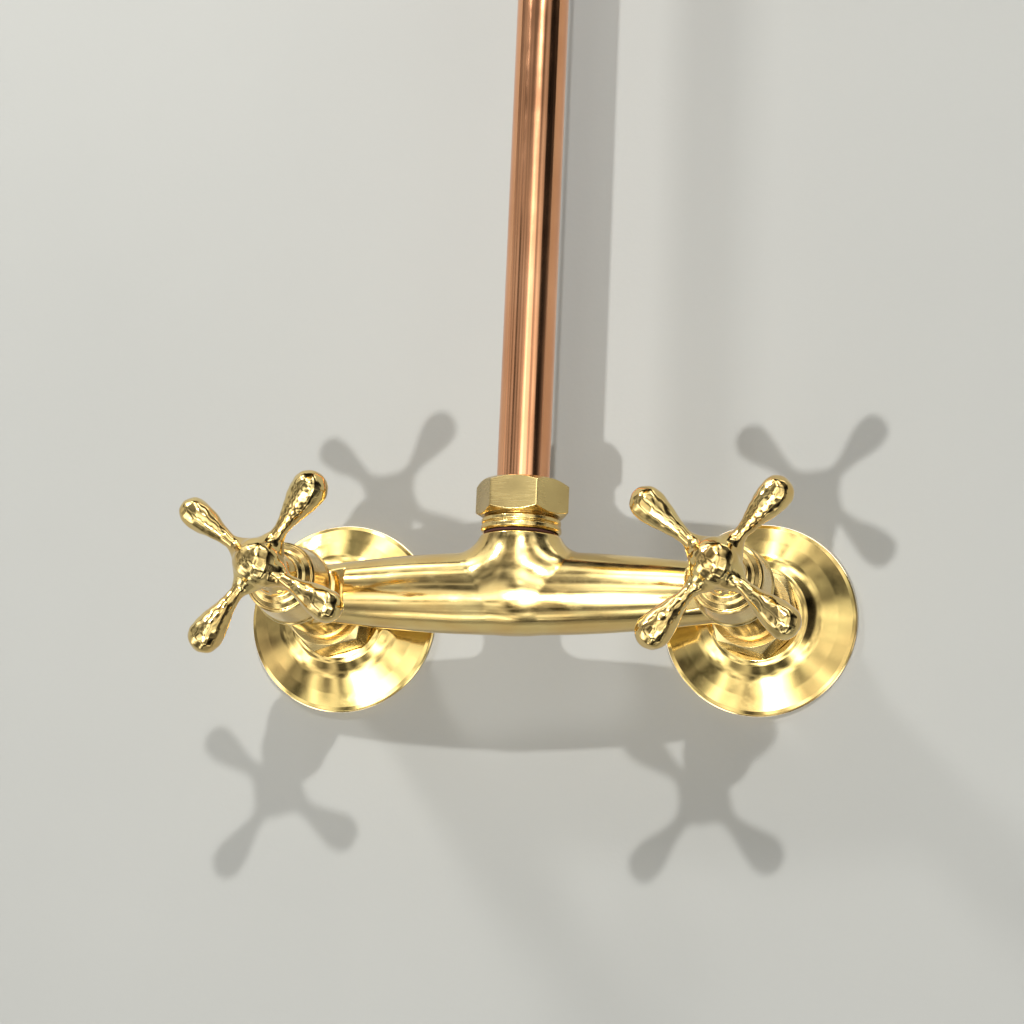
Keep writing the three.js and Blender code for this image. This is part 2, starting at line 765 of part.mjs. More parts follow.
const bracketFrame = fromWall(0, bracketHeight);
piece("bracket_rose", bracketRose(), polishedBrass, bracketFrame);
piece("bracket_stem", bracketStem(), polishedBrass, bracketFrame);
piece("bracket_clamp", clampHalf(), polishedBrass, bracketFrame).position.y = barrelDepth;
for (const [name, side] of [["left", -1], ["right", 1]]) {
  piece(`bracket_screw_${name}`, clampScrew(), polishedBrass, bracketFrame)
    .position.set(side * clampScrewX, barrelDepth, 0);
}

// ---------------------------------------------------------------- rain head

// This frame's +Y points down from the pipe's end. The riser's compression parts are turned over into it.
const headFrame = upright(-headY, pipeLowZ, true);
const flip = (geometry) => geometry.rotateX(Math.PI).translate(0, pipeEnd, 0);
const studShoulder = pipeEnd - riserNutBottom + 2 * gap;
const studCollarEnd = studShoulder + studShoulderLength;
const studCollarRadius = riserThreadRadius + 1.3;
const ringTop = ballDrop - ballRadius + 1;
const ringInner = ballRadius + runningGap;
const swivelThreadRadius = ballRadius + 4;
const socketRadiusOutside = swivelThreadRadius - gap;
const swivelRingRadius = swivelThreadRadius + swivelRingWall;
const swivelThreadLength = 5.9;
const socketTop = ballDrop - 1;
const socketFlange = ballDrop + ballRadius + 0.4;
const socketFlangeRadius = headStemRadius + headFlangeWidth;
const domeTop = socketFlange + 3;
const domeRim = domeTop + headDepth;
const domeHole = headStemRadius + gap;
const ballSealInner = ballRadius - 3.1;
const sealTop = ballDrop + Math.sqrt(ballRadius ** 2 - ballSealInner ** 2) + 2 * gap; // clear of the ball
const ballSealOuter = ballRadius - 1;
const ballSealThickness = 2;

const neckAngle = THREE.MathUtils.radToDeg(Math.asin(swivelNeckRadius / ballRadius));

function ballStud() {
  const boreAngle = THREE.MathUtils.radToDeg(Math.asin(studBore / ballRadius));
  const ball = arc(0, ballDrop, ballRadius, neckAngle - 90, 90 - boreAngle, 7);
  return turned([
    [studBore, gap],
    [around(riserRadius + gap), gap],
    [around(riserRadius + gap), pipeEnd - riserThreadTop],
    [riserThreadRadius, pipeEnd - riserThreadTop],
    [riserThreadRadius, studShoulder],
    [studCollarRadius, studShoulder],
    [studCollarRadius, studCollarEnd - 1],
    [studCollarRadius - 1, studCollarEnd],
    [swivelNeckRadius, studCollarEnd],
    ...ball,
  ], small);
}

// The ring hooks over the ball's shoulder, leaves the neck room to tilt, and screws onto the socket.
function swivelRing() {
  const lipAngle = neckAngle + swivelTilt + 5;
  const seat = arc(0, ballDrop, ringInner, lipAngle - 90, -10, 3);
  const threadTop = socketTop - gap;
  return turned([
    ...seat,
    [ringInner, threadTop],
    [swivelThreadRadius, threadTop],
    [swivelThreadRadius, threadTop + swivelThreadLength],
    [swivelRingRadius, threadTop + swivelThreadLength],
    [swivelRingRadius, ringTop + 3],
    [swivelRingRadius - 1.2, ringTop + 1],
    [ringInner + 0.1, ringTop],
    [ringInner - 0.9, ringTop + 0.2],
  ]);
}

function headSocket() {
  const headStemLength = sheet + lockNutHeight + 1.2; // past the socket's flange
  const seat = arc(0, ballDrop, ringInner, 0, 42, 3);
  return turned([
    [ringInner, socketTop],
    ...seat,
    [ballSealOuter + gap, sealTop - gap],
    [ballSealOuter + gap, sealTop + ballSealThickness + gap],
    [headStemBore, sealTop + ballSealThickness + gap],
    [headStemBore, domeTop + headStemLength],
    [headStemRadius, domeTop + headStemLength],
    [headStemRadius, domeTop],
    [socketFlangeRadius, domeTop],
    [socketFlangeRadius, socketFlange + 1],
    [socketFlangeRadius - 1, socketFlange],
    [socketRadiusOutside, socketFlange - 1.4],
    [socketRadiusOutside, socketTop],
  ], small);
}

// A spun dome: flat about its hole, then a long slope to a short upright rim.
function headDome() {
  const top = domeTop + gap;
  const flat = socketFlangeRadius + 1;
  const slope = [[0.4, 0.108], [0.68, 0.292], [0.88, 0.5]]; // shares of the radius and of the depth
  const outer = [
    [domeHole, top],
    [flat, top],
    ...slope.map(([across, down]) => [headRadius * across, top + headDepth * down]),
    [headRadius - 3, top + headDepth * 0.65],
    [headRadius, top + headDepth * 0.76],
    [headRadius, domeRim],
  ];
  const inner = [
    [headRadius - sheet, domeRim],
    [headRadius - sheet, top + headDepth * 0.77],
    [headRadius - 4, top + headDepth * 0.7],
    ...slope.reverse().map(([across, down]) => [headRadius * across - 0.4, top + headDepth * down + sheet]),
    [flat, top + sheet],
    [domeHole, top + sheet],
  ];
  return turned([...outer, ...inner], broad);
}

const plateBack = domeRim - plateThickness - 0.4;
const plateRadius = headRadius - sheet - gap;
const screwCircle = plateRadius - plateScrewInset;
const sprayPitch = (screwCircle - sprayMargin) / sprayRings;
const screwAngles = [45, 135, 225, 315];
const onCircle = (radius, deg) => {
  const a = THREE.MathUtils.degToRad(deg);
  return [radius * Math.cos(a), radius * Math.sin(a)];
};

// The spray plate's holes stand on circles, six more on each one outwards.
function sprayPlate() {
  const through = (radius, sides, [x, z]) =>
    solid(rod(radius, plateBack - 1, plateBack + plateThickness + 1, sides).translate(x, 0, z));
  const clearance = plateScrewRadius + 2 * gap;
  const holes = screwAngles.map((deg) => through(clearance, slim, onCircle(screwCircle, deg)));
  for (let ring = 1; ring <= sprayRings; ring++) {
    for (let i = 0; i < 6 * ring; i++) {
      const deg = (360 * (i + 0.5 * (ring % 2))) / (6 * ring);
      holes.push(through(sprayHoleRadius, 5, onCircle(ring * sprayPitch, deg)));
    }
  }
  return cut(solid(rod(plateRadius, plateBack, plateBack + plateThickness, broad)), ...holes);
}

// A ring inside the dome, with a lug for each plate screw.
function headCarrier() {
  const back = plateBack - 2.4;
  const front = plateBack - gap;
  const ring = solid(tube(plateRadius - 4.4, plateRadius - 0.4, back, front, broad));
  const lugs = screwAngles.map((deg) => {
    const [x, z] = onCircle(screwCircle, deg);
    const [x2, z2] = onCircle(plateRadius - 4, deg);
    const bar = new THREE.BoxGeometry(plateRadius - screwCircle, front - back, 2 * pillarRadius);
    bar.rotateY(THREE.MathUtils.degToRad(-deg)).translate((x + x2) / 2, (back + front) / 2, (z + z2) / 2);
    return join(solid(rod(pillarRadius, back, front, slim).translate(x, 0, z)), solid(bar));
  });
  const holes = screwAngles.map((deg) => {
    const [x, z] = onCircle(screwCircle, deg);
    return solid(rod(plateScrewRadius + gap, back - 1, front + 1, slim).translate(x, 0, z));
  });
  return cut(join(ring, ...lugs), ...holes);
}

function plateScrew(deg) {
  const [x, z] = onCircle(screwCircle, deg);
  const face = plateBack + plateThickness;
  return turned([
    [0, plateBack - 4],
    [plateScrewRadius, plateBack - 4],
    [plateScrewRadius, face + gap],
    [plateScrewHeadRadius, face + gap],
    [plateScrewHeadRadius - 0.4, face + 1.2],
    [0, face + 1.6],
  ], slim).translate(x, 0, z);
}

function lockNut() {
  const from = domeTop + sheet + 2 * gap;
  const to = from + lockNutHeight;
  return cut(hexagon(lockNutFlats, from, to), solid(rod(domeHole, from - 1, to + 1, small)));
}

piece("arm_nut", flip(geometryOf(compressionNut())), polishedBrass, headFrame);
piece("arm_olive", flip(olive()), turnedBrass, headFrame);
piece("ball_stud", ballStud(), polishedBrass, headFrame);
piece("swivel_ring", swivelRing(), polishedBrass, headFrame);
const ballSeal = tube(ballSealInner, ballSealOuter, sealTop, sealTop + ballSealThickness, small);
piece("ball_seal", ballSeal, rubber, headFrame);
piece("head_socket", headSocket(), polishedBrass, headFrame);
piece("head_lock_nut", lockNut(), turnedBrass, headFrame);
piece("head_dome", headDome(), polishedBrass, headFrame);
piece("head_carrier", headCarrier(), turnedBrass, headFrame);
piece("spray_plate", sprayPlate(), polishedBrass, headFrame);
screwAngles.forEach((deg, i) => piece(`plate_screw_${i + 1}`, plateScrew(deg), polishedBrass, headFrame));

export default column;
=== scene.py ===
import json
import math

import bpy
import numpy as np
from bpy.props import FloatProperty, FloatVectorProperty, PointerProperty
from mathutils import Matrix, Vector


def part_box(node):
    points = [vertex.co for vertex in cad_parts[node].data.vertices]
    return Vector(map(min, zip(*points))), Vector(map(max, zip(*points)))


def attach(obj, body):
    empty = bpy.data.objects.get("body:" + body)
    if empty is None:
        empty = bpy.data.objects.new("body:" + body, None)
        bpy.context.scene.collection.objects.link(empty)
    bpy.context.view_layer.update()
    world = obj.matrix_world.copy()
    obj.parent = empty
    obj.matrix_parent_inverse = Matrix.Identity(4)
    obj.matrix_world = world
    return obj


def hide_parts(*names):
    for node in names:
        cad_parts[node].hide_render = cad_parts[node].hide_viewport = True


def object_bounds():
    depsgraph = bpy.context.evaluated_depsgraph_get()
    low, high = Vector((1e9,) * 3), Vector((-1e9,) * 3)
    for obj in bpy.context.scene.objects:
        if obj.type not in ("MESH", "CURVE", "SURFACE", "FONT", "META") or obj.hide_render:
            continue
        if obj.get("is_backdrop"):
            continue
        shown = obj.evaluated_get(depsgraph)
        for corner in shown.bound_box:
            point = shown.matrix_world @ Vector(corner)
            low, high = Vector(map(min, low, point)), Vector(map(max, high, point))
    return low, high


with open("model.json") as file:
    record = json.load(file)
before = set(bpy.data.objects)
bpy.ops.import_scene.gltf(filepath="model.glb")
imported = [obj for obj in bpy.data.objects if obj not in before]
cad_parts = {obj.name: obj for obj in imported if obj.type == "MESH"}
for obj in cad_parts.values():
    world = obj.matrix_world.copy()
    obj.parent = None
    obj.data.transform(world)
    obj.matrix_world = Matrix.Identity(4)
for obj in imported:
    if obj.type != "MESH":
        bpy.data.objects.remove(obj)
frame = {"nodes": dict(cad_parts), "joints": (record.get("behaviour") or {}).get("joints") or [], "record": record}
cad_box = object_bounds()

bl_info = {
    "name": "Rainfall Shower Column",
    "version": (1, 0, 0),
    "blender": (4, 5, 0),
    "location": "View3D > Sidebar > Shower",
    "description": "Finished surfaces, materials and stage for a brass and copper shower column",
    "category": "Object",
}

MM = 0.001
NUT_FLATS = 28.0
TUBE_BORE = 9.25  # a hole that clears the 18 mm tube
TUBE_THREAD = 11.6  # the bore of the nuts that hold an olive on the tube
BALL_RADIUS = 9.0
SOCKET_RADIUS = 9.3
SIDES = {"hot": -1, "cold": 1}
# Each arm, anticlockwise from the upper right: degrees off square, millimetres short, size of its ball.
ARMS = {
    "hot": ((0, 0, 1.1), (-3, 1.2, 0.88), (0, 0, 1.0), (3, 1.0, 0.97)),
    "cold": ((0, 0, 0.98), (0, 0, 1.0), (0, 0, 1.03), (0, 0, 1.0)),
}


# ------------------------------------------------------------------ places read from the frame

def span(node):
    """A node's centre, lowest corner and highest corner at rest, in millimetres."""
    low, high = (np.array(corner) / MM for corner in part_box(node))
    return (low + high) / 2, low, high


def depths(node):
    """How far a node stands out of the wall, nearest and furthest, in millimetres."""
    _, low, high = span(node)
    return -high[1], -low[1]


def reach(node):
    """Half of a node's height across a horizontal axis, in millimetres."""
    _, low, high = span(node)
    return (high[2] - low[2]) / 2


BARREL_DEPTH = -span("riser_nut")[0][1]
VALVE_X = {side: span(f"{side}_spindle")[0][0] for side in SIDES}
HANDLE_DEPTH = depths("hot_cross_handle")[1] - 8.0
BALL = np.array(next(j for j in frame["joints"] if j["name"] == "head_tilt")["pos_m"]) / MM


# ------------------------------------------------------------------ sizes and colours a user would change

def linear(hex_colour, alpha=1.0):
    """An sRGB hex colour as linear red, green, blue and alpha."""
    channels = [int(hex_colour[i : i + 2], 16) / 255 for i in (1, 3, 5)]
    bent = [c / 12.92 if c <= 0.04045 else ((c + 0.055) / 1.055) ** 2.4 for c in channels]
    return (*bent, alpha)


def length(name, description, millimetres):
    """A length property whose default is given in millimetres."""
    return FloatProperty(
        name=name, description=description, default=millimetres * MM, unit="LENGTH", precision=5
    )


def colour(name, description, hex_colour):
    """A colour property whose default is given as an sRGB hex value."""
    return FloatVectorProperty(
        name=name, description=description, default=linear(hex_colour), size=4, subtype="COLOR", min=0, max=1
    )


class ShowerSizes(bpy.types.PropertyGroup):
    """Sizes of the finished surfaces that the frame leaves open."""

    barrel_middle: length("Barrel middle radius", "Radius of the mixer's barrel at its middle", 14.2)
    barrel_end: length("Barrel end radius", "Radius of the mixer's barrel at its shoulders", 10.8)
    neck_fillet: length("Neck fillet", "Radius of the cast fillet between the barrel and its outlet neck", 8.5)
    arm_reach: length("Arm reach", "Spindle axis to the middle of an arm's ball", 29.2)
    arm_ball: length("Arm ball", "Radius of the ball at an arm's end", 5.6)
    arm_waist: length("Arm waist", "Half of an arm's width at its waist", 2.3)
    hub_fillet: length("Hub fillet", "Radius of the cast fillets between hub and arms", 4.5)
    casting_wobble: length("Casting wobble", "How far hand polishing leaves the castings from true", 0.05)


class ShowerColours(bpy.types.PropertyGroup):
    """Colours of the metals and of the stage."""

    brass: colour("Polished brass", "Face-on colour of freshly polished yellow brass", "#E5CC8A")
    spun: colour("Spun brass", "Face-on colour of the sheet brass, a little warmer", "#E8CD82")
    brass_red: colour("Brass, warmer", "Where the polish has drawn more copper", "#DDB974")
    brass_dull: colour("Milled brass", "Brass on milled and turned faces", "#B8A06C")
    copper: colour("Copper", "Face-on colour of polished copper", "#F2B285")
    copper_dull: colour("Copper, darker", "Handled copper", "#DE9C70")
    wall: colour("Wall", "Emulsion paint on plaster", "#B3B3AD")
    floor: colour("Floor", "Pale studio floor", "#D2D1CD")


# ------------------------------------------------------------------ shapes: outlines

def outline(points, edge=0.3, step=None):
    """A profile of (radius, height) corners, each turned into an arc, with its outward normals.

    A third number in a corner is its own arc radius. The arc touches both runs at a distance of radius times
    the tangent of half the turn, kept under half of the shorter run. Runs longer than step get points
    between. A profile that starts and ends on the axis stays open, and any other closes on itself.
    """
    corners = np.array([p[:2] for p in points], float)
    radii = np.array([p[2] if len(p) > 2 else edge for p in points], float)
    after = np.roll(corners, -1, 0)
    if np.sum(corners[:, 0] * after[:, 1] - after[:, 0] * corners[:, 1]) < 0:
        corners, radii = corners[::-1], radii[::-1]
    on_axis = np.flatnonzero(corners[:, 0] == 0)
    is_open = len(on_axis) > 1
    if is_open:
        start = next(i for i in on_axis if corners[i - 1, 0] == 0)
        corners, radii = np.roll(corners, -start, 0), np.roll(radii, -start)
    places, normals = [], []
    count = len(corners)
    for i in range(count):
        here, before, beyond = corners[i], corners[i - 1], corners[(i + 1) % count]
        incoming, outgoing = here - before, beyond - here
        if is_open and i in (0, count - 1):
            run = outgoing if i == 0 else incoming
            run = run / np.hypot(*run)
            places.append(here[None])
            normals.append(np.array([[run[1], -run[0]]]))
            continue
        long_in, long_out = np.hypot(*incoming), np.hypot(*outgoing)
        incoming, outgoing = incoming / long_in, outgoing / long_out
        turn = math.atan2(incoming[0] * outgoing[1] - incoming[1] * outgoing[0], incoming @ outgoing)
        if abs(turn) < 1e-3:
            places.append(here[None])
            normals.append(np.array([[outgoing[1], -outgoing[0]]]))
            continue
        tangent = min(radii[i] * math.tan(abs(turn) / 2), 0.48 * long_in, 0.48 * long_out)
        radius = tangent / math.tan(abs(turn) / 2)
        swing = np.linspace(0, turn, max(3, int(abs(turn) / math.radians(9)) + 2))
        first = np.array([incoming[1], -incoming[0]])
        spread = np.stack([
            first[0] * np.cos(swing) - first[1] * np.sin(swing),
            first[0] * np.sin(swing) + first[1] * np.cos(swing),
        ], 1)
        bulge = 1 if turn > 0 else -1
        centre = here - incoming * tangent - first * radius * bulge
        places.append(centre + spread * radius * bulge)
        normals.append(spread)
    places, normals = np.concatenate(places), np.concatenate(normals)
    if step:
        places, normals = divided(places, normals, step, is_open)
    return places, normals, is_open


def divided(places, normals, step, is_open):
    """The same profile with points put in along each run, so that no two are further apart than step."""
    ends = np.roll(places, -1, 0)
    turns = np.roll(normals, -1, 0)
    parts = np.maximum(1, np.ceil(np.hypot(*(ends - places).T) / step).astype(int))
    if is_open:
        parts[-1] = 1
    which = np.repeat(np.arange(len(places)), parts)
    share = (np.arange(len(which)) - np.repeat(np.cumsum(parts) - parts, parts)) / parts[which]
    share = share[:, None]
    normals = normals[which] * (1 - share) + turns[which] * share
    return places[which] * (1 - share) + ends[which] * share, normals


# ------------------------------------------------------------------ shapes: surfaces

def straight(origin, along, side=(1, 0, 0)):
    """The axis of a turned piece: for each height the centre, the two directions across, and the one
    along."""
    origin, along, side = (np.array(v, float) for v in (origin, along, side))
    other = np.cross(along, side)

    def at(height):
        centre = origin + np.multiply.outer(height, along)
        return centre, *(np.broadcast_to(v, centre.shape) for v in (side, other, along))

    return at


def turned(points, axis, edge=0.3, around=96, step=None, flats=None, ripples=()):
    """A profile carried round an axis: centre(height) + radius * (side * cos(angle) + other * sin(angle)).

    flats = (across, turn) mills a hexagon: the radius is the soft least of the profile's and of the six
    planes', each across / 2 / cos(angle - the plane's angle). Each ripple (from, to, depth, pitch, count)
    takes depth times (1 - cos(count * angle + 2 pi * height / pitch)) / 2 off the radius between two
    heights: a thread or flutes. """
    places, normals, is_open = outline(points, edge, step)
    angle = np.linspace(0, 2 * np.pi, around, endpoint=False)
    if flats:
        angle = angle - 0.8 * np.sin(6 * angle) / 6 + math.radians(flats[1])
    radius = np.repeat(places[:, :1], around, 1)
    height = places[:, 1]
    out = np.repeat(normals[:, :1], around, 1)
    up = np.repeat(normals[:, 1:], around, 1)
    for low, high, depth, pitch, count in ripples:
        window = np.clip(np.minimum(height - low, high - height) / 0.4, 0, 1)[:, None]
        window = window * (normals[:, :1] > 0.5)
        phase = count * angle + (2 * np.pi * height / pitch)[:, None]
        radius = radius - window * depth * (1 - np.cos(phase)) / 2
        up = up + window * depth * np.sin(phase) * np.pi / pitch
    heading = np.stack([np.cos(angle), np.sin(angle)], 1) * np.ones((len(height), 1, 1))
    lean = heading * out[..., None]
    if flats:
        soft = 0.1
        planes = math.radians(flats[1] + 30) + np.arange(6) * np.pi / 3
        facing = np.cos(angle[None] - planes[:, None])
        reach_of = np.where(facing > 0.4, flats[0] / 2 / np.maximum(facing, 0.4), 99.0)
        every = np.concatenate([radius[None], np.repeat(reach_of[:, None], len(height), 1)])
        least = every.min(0)
        weight = np.exp(-(every - least) / soft)
        radius = least - soft * np.log(weight.sum(0))
        weight = weight / weight.sum(0)
        plane_way = np.stack([np.cos(planes), np.sin(planes)], 1)
        lean = lean * weight[0][..., None] + np.einsum("kij,kc->ijc", weight[1:], plane_way)
        up = up * weight[0]
    centre, side, other, along = axis(height)
    ring = side[:, None] * heading[..., :1] + other[:, None] * heading[..., 1:]
    verts = centre[:, None] + radius[..., None] * ring
    norms = side[:, None] * lean[..., :1] + other[:, None] * lean[..., 1:] + along[:, None] * up[..., None]
    return grid_surface(verts, norms, close_rows=not is_open)


def grid_surface(verts, norms, close_rows):
    """Quads between neighbours of a grid of points that closes along its columns, welded at poles."""
    rows, columns = verts.shape[:2]
    index = np.arange(rows * columns).reshape(rows, columns)
    if close_rows:
        index = np.concatenate([index, index[:1]])
    index = np.concatenate([index, index[:, :1]], 1)
    quads = np.stack([index[:-1, :-1], index[:-1, 1:], index[1:, 1:], index[1:, :-1]], -1).reshape(-1, 4)
    return welded(verts.reshape(-1, 3), quads, norms.reshape(-1, 3))


def welded(verts, quads, norms):
    """Merges points that share a place and turns a quad that lost a side into a triangle; faces follow the
    normals."""
    _, first, merged = np.unique(np.round(verts, 4), axis=0, return_index=True, return_inverse=True)
    merged = merged.reshape(-1)
    total = np.zeros((len(first), 3))
    np.add.at(total, merged, norms)
    verts, quads = verts[first], merged[quads]
    norms = total / np.maximum(np.linalg.norm(total, axis=1, keepdims=True), 1e-9)
    lost = quads == np.roll(quads, -1, 1)
    whole = quads[~lost.any(1)]
    short = lost.sum(1) == 1
    triangles = [np.delete(quads[short & lost[:, k]], k, 1) for k in range(4)]
    faces = [whole, np.concatenate(triangles)]
    a, b, c = (verts[whole[:, k]] for k in (0, 1, 3))
    facing = np.einsum("ij,ij->i", np.cross(b - a, c - a), norms[whole[:, 0]]).sum()
    if facing < 0:
        faces = [f[:, ::-1] for f in faces]
    return verts, faces, norms


def skin(field, low, high, cell):
    """The surface where a field is zero, from a grid of cells: each cell that it crosses gets one point, and
    each grid line that it crosses gets the quad of the four cells round that line. The points then slide
    along the field's gradient, by field / gradient squared, until they lie on the surface, and the gradient
    gives the normals."""
    lines = [np.arange(a - cell, b + 2 * cell, cell) for a, b in zip(low, high)]
    shape = [len(line) for line in lines]
    value = np.empty(shape)
    for i, x in enumerate(lines[0]):
        y, z = np.meshgrid(lines[1], lines[2], indexing="ij")
        value[i] = field(np.full_like(y, x), y, z)
    inside = value < 0
    corners = [inside[i : shape[0] - 1 + i, j : shape[1] - 1 + j, k : shape[2] - 1 + k]
               for i in (0, 1) for j in (0, 1) for k in (0, 1)]
    filled = sum(c.astype(np.int8) for c in corners)
    crossed = (filled > 0) & (filled < 8)
    index = np.full(crossed.shape, -1)
    index[crossed] = np.arange(crossed.sum())
    points = np.stack([lines[a][i] + cell / 2 for a, i in enumerate(np.nonzero(crossed))], 1)
    quads = []
    for a in range(3):
        b, c = (a + 1) % 3, (a + 2) % 3
        grid = np.moveaxis(inside, (a, b, c), (0, 1, 2))
        cells = np.moveaxis(index, (a, b, c), (0, 1, 2))
        change = grid[:-1, 1:-1, 1:-1] != grid[1:, 1:-1, 1:-1]
        i, j, k = np.nonzero(change)
        quad = np.stack([cells[i, j, k], cells[i, j + 1, k], cells[i, j + 1, k + 1], cells[i, j, k + 1]], 1)
        leaving = grid[i, j + 1, k + 1]
        quads.append(np.where(leaving[:, None], quad, quad[:, ::-1]))
    for _ in range(5):
        here = field(*points.T)
        slope = gradient(field, points, cell / 8)
        points = points - slope * (here / np.maximum((slope**2).sum(1), 0.05))[:, None]
    slope = gradient(field, points, cell / 8)
    norms = slope / np.maximum(np.linalg.norm(slope, axis=1, keepdims=True), 1e-9)
    return points, [np.concatenate(quads)], norms


def gradient(field, points, reach_by):
    """A field's slope at each point, from the difference across a short step each way."""
    steps = np.eye(3) * reach_by
    return np.stack([(field(*(points + s).T) - field(*(points - s).T)) / (2 * reach_by) for s in steps], 1)


def joined(a, b, fillet):
    """The union of two fields, with a round fillet: the larger of the fillet's radius and the lesser field,
    less the length of how far both fields lie under that radius."""
    over = np.hypot(np.maximum(fillet - a, 0), np.maximum(fillet - b, 0))
    return np.maximum(np.minimum(a, b), fillet) - over


def common(a, b, edge):
    """What two fields share, with a rounded edge."""
    return -joined(-a, -b, edge)


def wobble(x, y, z, amount):
    """The slow unevenness of a casting polished by hand: three sine waves that cross, about 9 to 17 mm
    long."""
    wave = np.sin(0.71 * x + 0.33 * z + 1.0) * np.sin(0.47 * z - 0.52 * y)
    return amount * (wave + 0.6 * np.sin(0.38 * x - 0.61 * y + 2.0) + 0.5 * np.sin(0.44 * y + 0.57 * z))


# ------------------------------------------------------------------ pieces

def build(name, surface, material, node=None, body="column"):
    """Makes a mesh object of a surface in millimetres, gives it its material and puts it on its body in
    place of a node."""
    verts, faces, norms = surface
    mesh = bpy.data.meshes.new(name)
    mesh.from_pydata((verts * MM).tolist(), [], [face for group in faces for face in group.tolist()])
    mesh.polygons.foreach_set("use_smooth", np.ones(len(mesh.polygons), bool))
    mesh.normals_split_custom_set_from_vertices(norms.tolist())
    mesh.validate()
    mesh.materials.append(material)
    piece = bpy.data.objects.new(name, mesh)
    bpy.context.scene.collection.objects.link(piece)
    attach(piece, body)
    if node:
        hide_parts(node)


def out_of_wall(side):
    """The axis of a valve, with heights counted out of the wall."""
    return straight((VALVE_X[side], 0, 0), (0, -1, 0))


def riser_axis():
    """The riser's axis, with heights counted up from the barrel's axis."""
    return straight((0, -BARREL_DEPTH, 0), (0, 0, 1))


def drop_axis():
    """The axis of the arm's drop, with heights counted down from the lower end of the pipe."""
    return straight((0, BALL[1], BALL[2] + ball_drop()), (0, 0, -1))


def ball_drop():
    """How far the ball's centre hangs under the end of the pipe: the stud starts 4 mm up the pipe."""
    return span("ball_stud")[2][2] - BALL[2] - 4.0


# ------------------------------------------------------------------ materials

def put(tree, kind, links=(), **settings):
    """Adds one shader node, sets its properties or its inputs by name, and links (input name, output socket)
    pairs."""
    node = tree.nodes.new(kind)
    for key, value in settings.items():
        if hasattr(node, key):
            setattr(node, key, value)
        else:
            node.inputs[key.replace("_", " ")].default_value = value
    for name, socket in links:
        tree.links.new(node.inputs[name], socket)
    return node


def surface(name, **constants):
    """A new material with one Principled shader whose constant values are set on its own sockets."""
    material = bpy.data.materials.new(name)
    material.use_nodes = True
    tree = material.node_tree
    shader = tree.nodes["Principled BSDF"]
    for key, value in constants.items():
        shader.inputs[key.replace("_", " ")].default_value = value
    return material, tree, shader


def per_metre(millimetres):
    """The noise scale whose features are about this large, on coordinates in metres."""
    return 1 / (millimetres * MM)


def noise(tree, where, millimetres, detail):
    """A cloudy pattern whose patches are about so many millimetres across."""
    return put(
        tree, "ShaderNodeTexNoise", [("Vector", where)], Scale=per_metre(millimetres), Detail=detail
    ).outputs["Fac"]


def mapped(tree, value, low, high, least=0.0, most=1.0):
    """A value carried from one range to another."""
    return put(
        tree, "ShaderNodeMapRange", [("Value", value)], From_Min=low, From_Max=high, To_Min=least, To_Max=most
    ).outputs["Result"]


def maths(tree, operation, first, second):
    """Two values, or a value and a number, put together."""
    links = [(0, first)] if isinstance(second, float) else [(0, first), (1, second)]
    node = put(tree, "ShaderNodeMath", links, operation=operation)
    if isinstance(second, float):
        node.inputs[1].default_value = second
    return node.outputs["Value"]


def two_shades(tree, shader, share, base, worn):
    """A base colour that passes from one shade to another."""
    shade = put(tree, "ShaderNodeMix", [("Factor", share)], data_type="RGBA")
    shade.inputs["A"].default_value = base
    shade.inputs["B"].default_value = worn
    tree.links.new(shader.inputs["Base Color"], shade.outputs["Result"])


def relief_of(tree, height, millimetres, under=None):
    """The normal of a bumpy face, on top of another bump where one is given."""
    links = [("Height", height)] + ([("Normal", under)] if under else [])
    return put(tree, "ShaderNodeBump", links, Strength=1.0, Distance=millimetres * MM).outputs["Normal"]


def metal(name, base, worn, roughness, patch, lay, lay_stretch, relief, waves=0.0):
    """A worked metal: colour drifts between two shades over patches, the tool or cloth leaves a lay of fine
    lines that are long in one direction, and slow waves stay in hand-polished faces.

    roughness = (least, most); patch, lay and waves are feature sizes in millimetres; lay_stretch scales the
    lay's coordinates on each axis; relief is the depth of the lay in millimetres.
    """
    material, tree, shader = surface(name, Metallic=1.0)
    where = put(tree, "ShaderNodeTexCoord").outputs["Object"]
    two_shades(tree, shader, mapped(tree, noise(tree, where, patch, 4.0), 0.35, 0.72), base, worn)
    along = put(tree, "ShaderNodeMapping", [("Vector", where)], Scale=lay_stretch).outputs["Vector"]
    lines = noise(tree, along, lay, 5.0)
    both = maths(tree, "MULTIPLY", lines, noise(tree, where, patch * 0.4, 6.0))
    tree.links.new(shader.inputs["Roughness"], mapped(tree, both, 0.12, 0.42, *roughness))
    bump = relief_of(tree, lines, relief)
    if waves:
        bump = relief_of(tree, noise(tree, where, waves, 1.5), waves * 0.018, bump)
    tree.links.new(shader.inputs["Normal"], bump)
    return material


def polished_cast_brass():
    """Cast yellow brass brought to a mirror by hand on a mop: soft waves, faint wipe marks, redder
    patches."""
    c = bpy.context.scene.shower_colours
    return metal(
        "Cast brass, mop polished", c.brass, c.brass_red, (0.07, 0.22), 14.0, 1.6, (0.3, 1, 1), 0.003
    )


def rubbed_cast_brass():
    """Small brass castings filed and mopped by hand: mirror bright, but lumpy, so that reflections break
    up."""
    c = bpy.context.scene.shower_colours
    return metal(
        "Cast brass, filed and mopped", c.brass, c.brass_red, (0.03, 0.11), 9.0, 1.4, (1, 1, 1), 0.002, 4.2
    )


